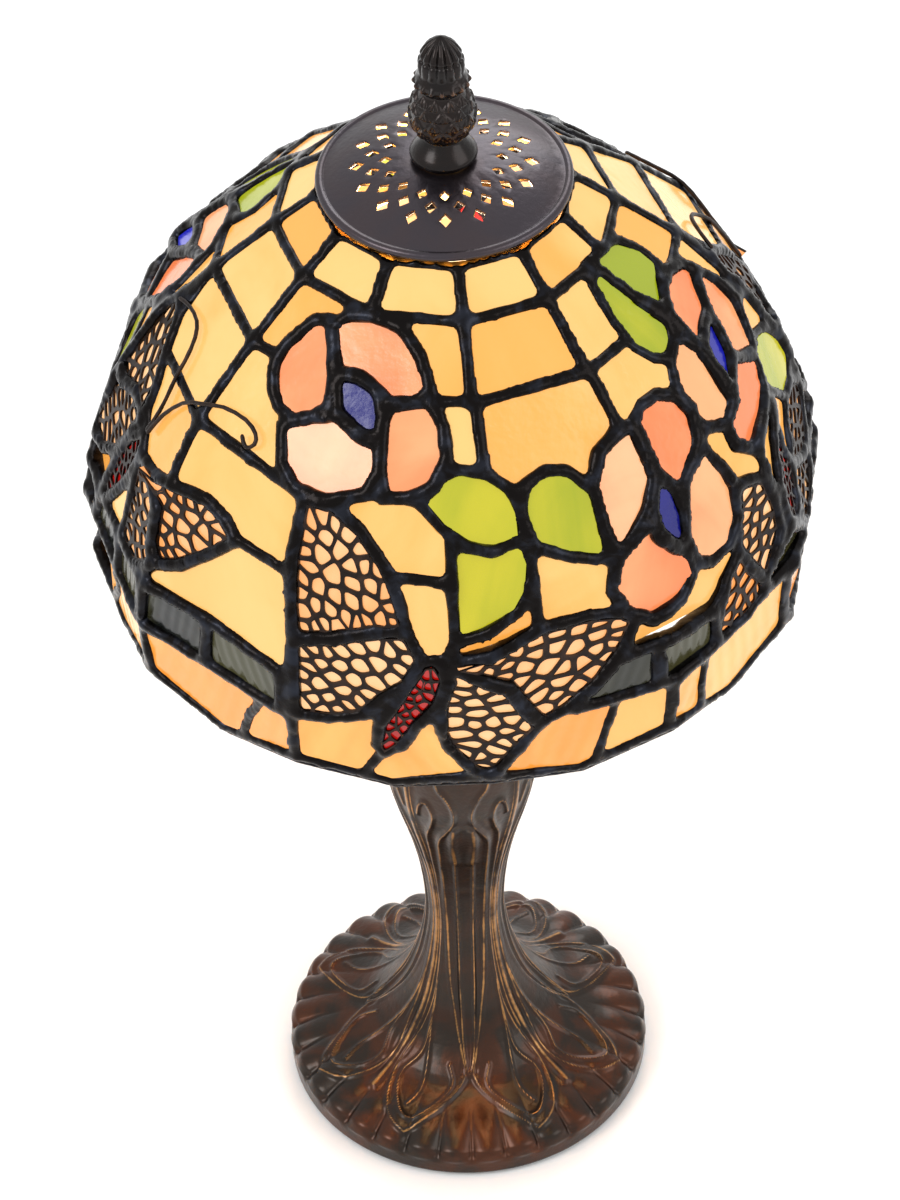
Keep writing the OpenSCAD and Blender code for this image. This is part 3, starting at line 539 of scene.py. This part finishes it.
def melted(shell, cell, rounds):
    """The shell rebuilt from even cells and smoothed, as a mesh."""
    mesh = bpy.data.meshes.new("melted")
    shell.to_mesh(mesh)
    shell.free()
    draft = bpy.data.objects.new("melted", mesh)
    bpy.context.scene.collection.objects.link(draft)
    cells = draft.modifiers.new("cells", "REMESH")
    cells.mode = "VOXEL"
    cells.voxel_size = cell
    soften = draft.modifiers.new("soften", "SMOOTH")
    soften.factor = 0.5
    soften.iterations = rounds
    graph = bpy.context.evaluated_depsgraph_get()
    made = bpy.data.meshes.new_from_object(draft.evaluated_get(graph))
    bpy.data.objects.remove(draft)
    return made


def points_of(mesh):
    """The places and normals of a mesh's points, as two arrays."""
    places = np.empty(len(mesh.vertices) * 3, np.float32)
    normals = np.empty(len(mesh.vertices) * 3, np.float32)
    mesh.vertices.foreach_get("co", places)
    mesh.vertices.foreach_get("normal", normals)
    return places.reshape(-1, 3).astype(float), normals.reshape(-1, 3).astype(float)


def move_points(mesh, places):
    mesh.vertices.foreach_set("co", places.astype(np.float32).ravel())
    mesh.update()


def lumps(places, size, seed):
    """Smooth noise from -1 to 1 at each place, with lumps of this size."""
    shift = Vector((seed, 2 * seed, 3 * seed))
    return np.array([noise.noise(Vector(p) / size + shift) for p in places])


def closeness(places, nodes, near, far):
    """1 where a place is nearer than near to an outline of these CAD parts, 0 beyond far."""
    marks = []
    for name in nodes:
        shell = merged_copy(name)
        for edge in shell.edges:
            steps = max(1, int(edge.calc_length() / (2 * MM)))
            marks += [edge.verts[0].co.lerp(edge.verts[1].co, k / steps) for k in range(steps)]
        shell.free()
    tree = KDTree(len(marks))
    for number, mark in enumerate(marks):
        tree.insert(mark, number)
    tree.balance()
    gaps = np.array([tree.find(p)[2] for p in places])
    return np.clip((far - gaps) / (far - near), 0, 1)


# %% The soldered network
network = melted(merged_copy("solder_seams"), SEAM_CELL, 5)
places, normals = points_of(network)
bold = closeness(places, ["glass_petals", "glass_wings", "glass_bodies", "glass_flower_centres",
                           "glass_branch"],
                 1.6 * MM, 3.2 * MM)
swell = SWELL + WIDE * bold + LUMP * lumps(places, 5 * MM, 1) + SMALL_LUMP * lumps(places, 1.6 * MM, 2)
move_points(network, places + normals * swell[:, None])
print("network has", len(network.vertices), "points; broad at", round(float(bold.mean()), 2))


# %% [markdown]
# A piece stays under 200,000 triangles, so the network is cut into quarters by two upright planes.
# Each cut runs where the beads are solid, and the quarters meet face to face.

# %% Quarters of the network
def quarter_of(mesh, side_x, side_y):
    """The part of a mesh in one quarter of the plan."""
    part = bmesh.new()
    part.from_mesh(mesh)
    for direction in ((side_x, 0, 0), (0, side_y, 0)):
        bmesh.ops.bisect_plane(part, geom=part.verts[:] + part.edges[:] + part.faces[:], dist=0.0001 * MM,
                               plane_co=(0, 0, 0), plane_no=direction, clear_inner=True)
    return part


QUARTERS = {"front_right": (1, -1), "front_left": (-1, -1), "back_left": (-1, 1), "back_right": (1, 1)}
for name, (side_x, side_y) in QUARTERS.items():
    finish_piece("solder_" + name, quarter_of(network, side_x, side_y), "shade",
                 METALS["seam"], ["solder_seams"], 180)

# %% [markdown]
# The rim wire and the antennae are wires bent by hand. The same rebuilding rounds them and closes
# the joints between their straight lengths.

# %% Wires
for node, cell, slot, swelling in (("rim_wire", 0.5 * MM, "seam", 0.1 * MM),
                                   ("antennae", 0.26 * MM, "overlay", 0.1 * MM)):
    wire = melted(merged_copy(node), cell, 4)
    places, normals = points_of(wire)
    move_points(wire, places + normals * (swelling + 0.08 * MM * lumps(places, 3 * MM, 3))[:, None])
    finish_piece("bent_" + node, wire, "shade", METALS[slot], [node], 180)

# %% [markdown]
# ## Pierced plates over the wings
#
# A thin etched plate lies over each wing pane, and the light comes through its holes. Inside a
# solid border the holes are cells, small along the edges of the wing and larger in its middle, and
# they are drawn out along the wing as veins are. Cells of that kind are what is left around each of
# many seeds when every neighbour claims the half of the plane beyond the middle line. So each cell
# starts as the whole outline and is cut by one plane for each near seed. Its rim is inset, its
# corners are bevelled, the middle is taken out, and the rims of all cells join into one plate.

# %% Seeds and cells
PLATE_T = 0.7 * MM


def edge_gap(point, outline):
    """How far a point in the plane is from the outline, and whether it is inside."""
    best, inside = 1.0, False
    for a, b in zip(outline, outline[1:] + outline[:1]):
        along = b - a
        share = max(0.0, min(1.0, (point - a).dot(along) / along.length_squared))
        best = min(best, (point - a - along * share).length)
        if (a.y > point.y) != (b.y > point.y) and point.x < a.x + (point.y - a.y) * along.x / along.y:
            inside = not inside
    return best, inside


def scatter(outline, small, large, tries=1500):
    """Seeds inside an outline, closer together near its edge."""
    low = Vector((min(p.x for p in outline), min(p.y for p in outline)))
    high = Vector((max(p.x for p in outline), max(p.y for p in outline)))
    seeds = []
    for _ in range(tries):
        point = Vector((draw.uniform(low.x, high.x), draw.uniform(low.y, high.y)))
        gap, inside = edge_gap(point, outline)
        if not inside or gap < small * 0.45:
            continue
        room = small + (large - small) * min(1.0, gap / (5 * MM))
        if all((point - seed[0]).length > (room + seed[1]) / 2 for seed in seeds):
            seeds.append((point, room))
    return [seed[0] for seed in seeds]


def cut_cell(outline, seed, seeds):
    """The part of the outline that is nearer to this seed than to any other."""
    cell = bmesh.new()
    cell.faces.new([cell.verts.new((p.x, p.y, 0)) for p in outline])
    near = sorted(seeds, key=lambda other: (other - seed).length_squared)[1:13]
    for other in near:
        middle, away = (seed + other) / 2, other - seed
        bmesh.ops.bisect_plane(cell, geom=cell.verts[:] + cell.edges[:] + cell.faces[:], dist=0.001 * MM,
                               plane_co=(middle.x, middle.y, 0), plane_no=(away.x, away.y, 0),
                               clear_outer=True)
    return cell


def round_the_hole(cell, strut):
    """Insets the one face of a cell, takes out its middle and rounds the corners of the hole."""
    middles = cell.faces[:]
    bmesh.ops.inset_individual(cell, faces=middles, thickness=strut)
    corners = list({corner for face in middles for corner in face.verts})
    bmesh.ops.delete(cell, geom=middles, context="FACES_ONLY")
    bmesh.ops.bevel(cell, geom=corners, offset=30, offset_type="PERCENT", affect="VERTICES", segments=2,
                    profile=0.5, material=-1)


# %% One plate
def pierced_plate(outline, border, small, large, strut):
    """A flat plate with a solid border and a hole in each cell, as a bmesh in the plane."""
    plate = bmesh.new()
    middle = plate.faces.new([plate.verts.new((p.x, p.y, 0)) for p in outline])
    bmesh.ops.inset_individual(plate, faces=[middle], thickness=border)
    outline = [v.co.xy for v in middle.verts]
    bmesh.ops.delete(plate, geom=[middle], context="FACES_ONLY")
    seeds = scatter(outline, small, large)
    for seed in seeds:
        cell = cut_cell(outline, seed, seeds)
        around = sum(f.calc_perimeter() for f in cell.faces)
        width = strut * draw.uniform(0.75, 1.4)
        if around and 2 * sum(f.calc_area() for f in cell.faces) / around > 1.45 * width:
            round_the_hole(cell, width)
        scrap = bpy.data.meshes.new("cell")
        cell.to_mesh(scrap)
        cell.free()
        plate.from_mesh(scrap)
        bpy.data.meshes.remove(scrap)
    bmesh.ops.remove_doubles(plate, verts=plate.verts, dist=0.02 * MM)
    lower = bmesh.ops.extrude_face_region(plate, geom=plate.faces[:])["geom"]
    bmesh.ops.translate(plate, verts=[v for v in lower if isinstance(v, bmesh.types.BMVert)],
                        vec=(0, 0, -PLATE_T))
    return plate


def plate_over(solid, root, stretch, border, small, large, strut):
    """The plate for one pane, its cells drawn out away from the root, laid on the pane's outer face."""
    face = outer_face(solid)
    middle = face.calc_center_median()
    out = face.normal.copy()
    along = (middle - root) - out * (middle - root).dot(out)
    along = along.normalized() if along.length > MM else face_axes(face)[1]
    across = out.cross(along)
    outline = [Vector(((v.co - middle).dot(along) / stretch, (v.co - middle).dot(across)))
               for v in face.verts]
    plate = pierced_plate(outline, border, small, large, strut)
    lay = Matrix((along * stretch, across, out)).transposed().to_4x4()
    plate.transform(Matrix.Translation(middle + out * (PLATE_T + 0.05 * MM)) @ lay)
    return plate


# %% All the plates
def pane_solids(node):
    shell = merged_copy(node)
    return shell, islands(shell)


body_shell, body_solids = pane_solids("glass_bodies")
wing_shell, wing_solids = pane_solids("glass_wings")
roots = [outer_face(solid).calc_center_median().copy() for solid in body_solids]


def join_plates(solids, stretch, border, small, large, strut, own_root=False):
    """One bmesh of the plates over these panes."""
    joined = bmesh.new()
    for solid in solids:
        middle = outer_face(solid).calc_center_median()
        root = min(roots, key=lambda place: (place - middle).length)
        if own_root:
            root = middle - Vector((0, 0, 1))
        plate = plate_over(solid, root, stretch, border, small, large, strut)
        scrap = bpy.data.meshes.new("plate")
        plate.to_mesh(scrap)
        plate.free()
        joined.from_mesh(scrap)
        bpy.data.meshes.remove(scrap)
    bmesh.ops.recalc_face_normals(joined, faces=joined.faces)
    return joined


WING_CUT = {"stretch": 1.4, "border": 0.7 * MM, "small": 2.0 * MM, "large": 3.7 * MM, "strut": 0.56 * MM}
BODY_CUT = {"stretch": 1.3, "border": 0.3 * MM, "small": 1.7 * MM, "large": 2.4 * MM, "strut": 0.36 * MM}
front_wings = [solid for solid in wing_solids if outer_face(solid).calc_center_median().y < 0]
back_wings = [solid for solid in wing_solids if outer_face(solid).calc_center_median().y >= 0]
for name, solids in (("front", front_wings), ("back", back_wings)):
    plates = join_plates(solids, **WING_CUT)
    finish_piece("plate_wings_" + name, plates, "shade", METALS["overlay"], ["wing_filigree"], 30)
plates = join_plates(body_solids, **BODY_CUT, own_root=True)
finish_piece("plate_bodies", plates, "shade", METALS["overlay"], ["body_filigree"], 30)
body_shell.free()
wing_shell.free()

# %% [markdown]
# ## The cast base
#
# The base was modelled in wax and cast in bronze: a dished foot of rounded flutes, eight kite-shaped
# leaves in raised line, and lines that run up the stem and curl where it swells. The plain outline
# is measured from the CAD part by looking at it along rays. That line is spun into a skin fine
# enough to carry the lines, which are then raised point by point. Each line is drawn once, in one
# eighth of the round, as a few places: degrees from the front and millimetres along the outline
# from the edge of the foot. How high a point stands also says how much the patina is rubbed off it.

# %% The outline of the base
casting = merged_copy("base_casting")
casting_tree = BVHTree.FromBMesh(casting)
casting.free()
base_low, base_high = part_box("base_casting")
foot_radius = -base_low.y
stem_top = base_high.z
TURN_R = 24 * MM


def outline_of_base():
    """Radius and height along the outer line of the casting, from the foot's edge up to the neck."""
    line = []
    for radius in np.arange(foot_radius - 1.5 * MM, TURN_R, -0.9 * MM):
        hit = casting_tree.ray_cast(Vector((0, -radius, 0.2)), Vector((0, 0, -1)))[0]
        line.append((radius, hit.z))
    for height in np.arange(line[-1][1] + 1.2 * MM, stem_top - 0.2 * MM, 1.2 * MM):
        hit = casting_tree.ray_cast(Vector((0, -0.1, height)), Vector((0, 1, 0)))[0]
        line.append((-hit.y, height))
    return line


base_line = outline_of_base()
lengths = np.concatenate([[0], np.cumsum([math.dist(a, b) for a, b in zip(base_line, base_line[1:])])])
print("outline of", len(base_line), "places,", round(lengths[-1] / MM), "mm long")

# %% [markdown]
# The lines of the relief. Degrees run from 0 at a channel to 45 at the thick ridge between two
# pairs of leaves, and the other seven eighths mirror or repeat them.

# %% Lines of the relief
LEAF_EDGE = [(24, 3.5), (13, 14), (3, 24), (4, 30), (12, 45), (21, 60), (27, 80), (27, 100), (25, 116),
             (22, 125), (14, 131), (8, 136), (7, 142), (12, 148), (19, 153), (21, 165), (16, 185), (14, 203)]
LEAF_BACK = [(24, 3.5), (34, 9), (42, 24), (38, 38), (36, 50), (37, 65), (38, 90), (36, 112), (33, 126),
             (27, 133), (24, 139), (28, 144), (34, 143), (38, 137)]
LEAF_FOLD = [(12, 28), (9, 22), (15, 15), (24.5, 8), (33, 14), (37, 22), (31, 31), (33, 44), (35, 55)]
LEAF_VEIN = [(27, 12), (24, 19), (26, 28), (31, 40), (34, 52)]
CHANNEL = [(0, 25), (3, 31), (6, 45), (9, 60), (11, 80), (11, 100), (9, 118)]
CREST = [(9, 112), (10, 122), (8, 132)]
RIDGE = [(45, 13), (45, 30), (45, 50), (45, 80), (45, 120), (45, 150), (45, 175), (45, 203)]
RIDGE_LINE = [(42, 34), (41, 50), (41, 80), (41, 112), (42, 140), (41, 170)]
# points, height in mm, half width in mm
RELIEF = [(LEAF_EDGE, 0.85, 0.75), (LEAF_BACK, 0.85, 0.75), (LEAF_FOLD, 0.55, 0.55), (LEAF_VEIN, 0.45, 0.6),
          (CHANNEL, 0.8, 0.6), (CREST, 0.9, 1.4), (RIDGE, 1.2, 1.5), (RIDGE_LINE, 0.5, 0.5)]
LEAF_RISE = 0.75
FLUTES = 32
FLUTE_DEEP = 2.3
BAND_TOP = 6.3 * MM


def rounded_line(points, steps=6):
    """A smooth line through the given points."""
    p = np.array([points[0], *points, points[-1]], float)
    made = []
    for a, b, c, d in zip(p, p[1:], p[2:], p[3:]):
        for t in np.arange(steps) / steps:
            made.append(0.5 * (2 * b + (c - a) * t + (2 * a - 5 * b + 4 * c - d) * t ** 2
                               + (3 * b - a - 3 * c + d) * t ** 3))
    return np.array([*made, p[-1]])


def line_gap(degrees, along, radius, points):
    """How far, in mm, each place is from a line of the relief."""
    line = rounded_line(points)
    best = np.full(len(degrees), 99.0)
    per_degree = math.radians(1) * radius / MM
    for (a0, s0), (a1, s1) in zip(line, line[1:]):
        x, y = (degrees - a0) * per_degree, along - s0
        dx, dy = (a1 - a0) * per_degree, s1 - s0
        share = np.clip((x * dx + y * dy) / (dx * dx + dy * dy + 1e-9), 0, 1)
        best = np.minimum(best, np.hypot(x - share * dx, y - share * dy))
    return best


def relief_at(turned, along, radius):
    """Height of the relief in mm, and how worn it is, at each place."""
    degrees = np.abs((turned + 45) % 90 - 45)
    first, last = [np.interp(along, *np.array(line[:12]).T[::-1]) for line in (LEAF_EDGE, LEAF_BACK)]
    per_degree = math.radians(1) * radius / MM
    inside = np.clip((degrees - first) * per_degree, 0, 1) * np.clip((last - degrees) * per_degree, 0, 1)
    plateau = LEAF_RISE * inside * np.clip((along - 3) / 2, 0, 1) * np.clip((115 - along) / 25, 0, 1)
    height = np.zeros(len(turned))
    worn = np.zeros(len(turned))
    for points, rise, width in RELIEF:
        gap = line_gap(degrees, along, radius, points)
        ridge = np.exp(-(gap / width) ** 2)
        height = np.maximum(height, rise * ridge)
        worn = np.maximum(worn, ridge ** 3)
    height += plateau
    edge = np.clip(1 - along / 19, 0, 1)
    flute = np.abs(np.sin(np.radians(turned) * FLUTES / 2))
    height += edge ** 1.5 * FLUTE_DEEP * (flute ** 0.6 - 0.75)
    return height, worn * 0.9 + edge * flute * 0.12


# %% The foot and the stem
def spun(line, steps):
    """A skin of revolution about the upright axis from a line of radius and height."""
    skin = bmesh.new()
    points = [skin.verts.new((0, -radius, height)) for radius, height in line]
    edges = [skin.edges.new(pair) for pair in zip(points, points[1:])]
    bmesh.ops.spin(skin, geom=points + edges, cent=(0, 0, 0), axis=(0, 0, 1), angle=2 * math.pi,
                   steps=steps, use_merge=True)
    bmesh.ops.recalc_face_normals(skin, faces=skin.faces)
    return skin


def finer(line, step):
    """The same line with a place at every step."""
    at = np.concatenate([[0], np.cumsum([math.dist(a, b) for a, b in zip(line, line[1:])])])
    wanted = np.linspace(0, at[-1], int(at[-1] / step) + 1)
    radii, heights = np.array(line).T
    return list(zip(np.interp(wanted, at, radii), np.interp(wanted, at, heights)))


def raise_relief(skin):
    """Moves the skin's points by the relief and marks where it is worn."""
    wear = skin.verts.layers.float.new("wear")
    skin.normal_update()
    places = np.array([v.co for v in skin.verts])
    radius = np.hypot(places[:, 0], places[:, 1])
    turned = np.degrees(np.arctan2(places[:, 0], -places[:, 1]))
    line_r, line_z = np.array(base_line).T
    on_foot = radius > TURN_R
    along = np.where(on_foot, np.interp(-radius, -line_r[line_r > TURN_R], lengths[line_r > TURN_R]),
                     np.interp(places[:, 2], line_z, lengths)) / MM
    height, worn = relief_at(turned, along, radius)
    height *= np.clip((places[:, 2] - BAND_TOP) / (2.5 * MM), 0, 1)
    for vert, rise, rub in zip(skin.verts, height, worn):
        vert.co += vert.normal * rise * MM
        vert[wear] = rub


STEPS = 480
UNDER_R = 50.2 * MM
band_low = base_low.z
turn_row = max(k for k, (radius, height) in enumerate(base_line) if radius > TURN_R)
foot_line = [(UNDER_R, band_low), (foot_radius - 0.5 * MM, band_low), (foot_radius, band_low + 0.5 * MM),
             (foot_radius, base_line[0][1] - 2.5 * MM), *base_line[:turn_row + 1]]
stem_line = [*base_line[turn_row:], (base_line[-1][0] - 3 * MM, stem_top)]
for name, line, step in (("cast_foot", foot_line, 0.5 * MM), ("cast_stem", stem_line, 0.95 * MM)):
    skin = spun(finer(line, step), STEPS)
    raise_relief(skin)
    finish_piece(name, skin, "lamp", METALS["bronze"], ["base_casting"], 180)

# %% [markdown]
# ## The finial
#
# The finial unscrews by hand, so it has plenty to hold: a smooth bell foot, a globe of overlapping
# leaves, a collar of beads, and a fluted bud. Its line is measured from the CAD part in the same
# way. Leaves, beads and flutes are relief: each is a short sum of waves round the turn and up the
# height.

# %% The finial
finial_low, finial_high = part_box("finial")
FINIAL_STEPS = 336
LEAF_ROWS = 5
LEAVES_ROUND = 10
BUD_FLUTES = 14
BEADS = 16
# shares of the height at which each part of the relief starts, ends or lies
GLOBE_LOW, GLOBE_HIGH = 0.2, 0.57
BEAD_ROW = 0.635
BUD_LOW, BUD_HIGH = 0.7, 0.99
BUD_RING = 0.83


def outline_of_finial():
    shell = merged_copy("finial")
    tree = BVHTree.FromBMesh(shell)
    shell.free()
    line = []
    ridge = math.pi / BUD_FLUTES
    away = Vector((math.cos(ridge), math.sin(ridge), 0))
    for height in np.arange(finial_low.z + 0.1 * MM, finial_high.z - 0.25 * MM, 0.22 * MM):
        start = Vector((0, 0, height)) + away * 0.05
        line.append(((tree.ray_cast(start, -away)[0] - Vector((0, 0, height))).length, height))
    return [(line[0][0] - 2 * MM, finial_low.z), *line, (0.02 * MM, finial_high.z)]


def leaf_relief(turned, share):
    """Overlapping leaves on the globe: share runs from 0 at its foot to 1 at its top."""
    row = np.floor(share * LEAF_ROWS)
    up_the_row = share * LEAF_ROWS - row
    across = (turned / 360 * LEAVES_ROUND + row / 2) % 1 - 0.5
    point = 1 - np.abs(across) * 2
    tip = np.clip((point * 0.9 + 0.25 - up_the_row) * 4, 0, 1)
    veins = np.cos((np.abs(across) * 9 + up_the_row * 2.2) * math.pi)
    return tip * (0.35 + 0.25 * point) + 0.16 * veins * tip


def raise_finial(skin):
    wear = skin.verts.layers.float.new("wear")
    skin.normal_update()
    tall = finial_high.z - finial_low.z
    places = np.array([v.co for v in skin.verts])
    share = (places[:, 2] - finial_low.z) / tall
    turned = np.degrees(np.arctan2(places[:, 0], -places[:, 1]))
    on_globe = np.clip((share - GLOBE_LOW) * 25, 0, 1) * np.clip((GLOBE_HIGH - share) * 25, 0, 1)
    up_the_globe = np.clip((share - GLOBE_LOW) / (GLOBE_HIGH - GLOBE_LOW), 0, 0.999)
    height = 0.9 * on_globe * (leaf_relief(turned, up_the_globe) - 0.25)
    bead = np.sqrt(np.clip(np.cos(np.radians(turned) * BEADS), 0, 1))
    height += 0.9 * bead * np.exp(-((share - BEAD_ROW) / 0.022) ** 2)
    on_bud = np.clip((share - BUD_LOW) * 18, 0, 1) * np.clip((BUD_HIGH - share) * 12, 0, 1)
    flute = np.abs(np.cos(np.radians(turned) * BUD_FLUTES / 2)) ** 0.7
    height += 0.75 * on_bud * (flute - 0.8)
    height -= 0.4 * np.exp(-((share - BUD_RING) / 0.012) ** 2)
    for vert, rise in zip(skin.verts, height):
        vert.co += vert.normal * rise * MM
        vert[wear] = min(1.0, max(0.0, 0.35 + rise * 0.7))


bud = spun(finer(outline_of_finial(), 0.3 * MM), FINIAL_STEPS)
raise_finial(bud)
finish_piece("finial_cast", bud, "finial", METALS["finial_bronze"], ["finial"], 180)

# %% [markdown]
# ## Caps, tubes and fittings
#
# The vented cap and all the metalwork inside already have their true shapes, but as loose
# triangles they catch the light in facets and their edges are razor sharp. A real turned or pressed
# edge is always a little round, and it is what glints. So each gets a merged copy, a fine bevel on
# its sharp edges, and smooth shading elsewhere.

# %% Rounded copies
# CAD node, its finish and slot, radius of the bevel in mm
FITTINGS = [("vented_cap", "cap_bronze", 0.15), ("cap_ring", "brass", 0),
            ("finial_washer", "brass", 0.12), ("finial_insert", "brass", 0.1), ("harp", "brass", 0),
            ("harp_saddle", "brass", 0.15), ("harp_stud", "brass", 0.1), ("check_ring", "brass", 0.1),
            ("saddle_nut", "brass", 0.2), ("pipe_nut", "steel", 0.2), ("pipe_washer", "steel", 0.1),
            ("threaded_pipe", "brass", 0.1), ("socket_cap", "brass", 0.12),
            ("socket_shell", "brass", 0.1), ("socket_body", "phenolic", 0.2),
            ("switch_block", "phenolic", 0.2), ("switch_shaft", "brass", 0.1),
            ("switch_knob", "switch_black", 0.3), ("centre_contact", "brass", 0.1),
            ("terminal_screws", "brass", 0.1), ("screw_shell", "socket_aluminium", 0),
            ("socket_liner", "liner_card", 0), ("bulb_contact", "steel", 0.1),
            ("bulb_insulator", "phenolic", 0.1), ("bulb_cap", "socket_aluminium", 0),
            ("felt_pad", "felt", 0.3), ("ballast_disc", "iron", 0.3), ("bottom_plate", "steel", 0.1),
            ("plate_screws", "steel", 0.1), ("cord_grommet", "bush_rubber", 0.15)]
SHARP = math.radians(35)


def rounded_copy(node, radius):
    """The CAD part with its sharp edges rounded by this many millimetres."""
    shell = merged_copy(node)
    if radius:
        sharp = [e for e in shell.edges if len(e.link_faces) == 2 and e.calc_face_angle() > SHARP]
        bmesh.ops.bevel(shell, geom=sharp, offset=radius * MM, offset_type="OFFSET", affect="EDGES",
                        segments=2, profile=0.5, material=-1, clamp_overlap=True)
    return shell


FINISHES = {**STUFFS, **METALS}
for node, slot, radius in FITTINGS:
    body = NODES[node]["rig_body"]
    finish_piece("fine_" + node, rounded_copy(node, radius), body, FINISHES[slot], [node], 40)

# %% [markdown]
# ## The bulb
#
# The bulb's envelope is frosted, so its glass glows evenly and hides the stem within. It is the
# only clear glass in the lamp.

# %% The bulb
def bulb_finish():
    material, place = new_finish("bulb_frost")
    frost = cloud(place, 500, 3)
    return close_finish(material, place, {
        "Base Color": frost.between(linear(255, 240, 215), linear(255, 250, 240)),
        "Roughness": 0.45 + frost * 0.2,
        "Emission Color": frost.between(linear(255, 214, 150), linear(255, 236, 196)),
        "Emission Strength": 1.6,
        "Normal": bump(place, frost, 0.0001, 0.4)})


def filament_finish():
    material, place = new_finish("filament")
    glow = cloud(place, 300, 2)
    return close_finish(material, place, {
        "Base Color": linear(230, 226, 214),
        "Roughness": 0.3 + glow * 0.2,
        "Emission Color": glow.between(linear(255, 190, 110), linear(255, 220, 160)),
        "Emission Strength": 1.0})


finish_piece("fine_bulb_glass", rounded_copy("bulb_glass", 0), "bulb", bulb_finish(),
             ["bulb_glass"], 40)
finish_piece("fine_bulb_stem", rounded_copy("bulb_stem", 0), "bulb", filament_finish(),
             ["bulb_stem"], 40)

# %% [markdown]
# ## Floor and light
#
# The lamp stands on a pale floor that fills the view. Large soft lights on both sides and a bright
# sky keep its shadow faint, and give the glass and the solder long soft glints. A warm point light
# inside the shade does what the real bulb does: it shines out through the vents and down the stem.

# %% Floor and lights
def floor_finish():
    material, place = new_finish("floor")
    mottle = cloud(place, 3, 3)
    return close_finish(material, place, {
        "Base Color": mottle.between(linear(246, 246, 246), linear(255, 255, 255)),
        "Roughness": 0.75,
        "Normal": bump(place, mottle, 0.0005, 0.2)})


floor_shell = bmesh.new()
bmesh.ops.create_grid(floor_shell, x_segments=8, y_segments=8, size=6)
floor_mesh = bpy.data.meshes.new("floor")
floor_shell.to_mesh(floor_mesh)
floor_shell.free()
floor_mesh.materials.append(floor_finish())
floor = bpy.data.objects.new("floor", floor_mesh)
bpy.context.scene.collection.objects.link(floor)


def soft_light(name, place, target, size, power, colour=(1, 1, 1)):
    """A square area light at a place, facing a target."""
    lamp = bpy.data.lights.new(name, "AREA")
    lamp.size = size
    lamp.energy = power
    lamp.color = colour
    holder = bpy.data.objects.new(name, lamp)
    holder.location = place
    holder.rotation_euler = (Vector(target) - Vector(place)).to_track_quat("-Z", "Y").to_euler()
    bpy.context.scene.collection.objects.link(holder)


MIDDLE = (0, 0, 0.2)
soft_light("key", (-1.3, -0.9, 1.6), MIDDLE, 0.9, 16)
soft_light("fill", (1.5, -0.7, 1.2), MIDDLE, 1.2, 9)
soft_light("rim", (0.3, 1.6, 1.3), MIDDLE, 1.0, 10)

glow = bpy.data.lights.new("bulb_glow", "POINT")
glow.energy = 2.2
glow.color = (1.0, 0.72, 0.42)
glow.shadow_soft_size = 0.02
glow_holder = bpy.data.objects.new("bulb_glow", glow)
glow_holder.location = bulb_centre + Vector((0, 0, 0.035))
bpy.context.scene.collection.objects.link(glow_holder)

world = bpy.data.worlds.new("studio")
world.use_nodes = True
world.node_tree.nodes["Background"].inputs["Color"].default_value = (1, 1, 1, 1)
world.node_tree.nodes["Background"].inputs["Strength"].default_value = 0.9
bpy.context.scene.world = world
bpy.context.scene.view_settings.view_transform = "Standard"

# %% [markdown]
# ## The end
#

# %% The end
import json
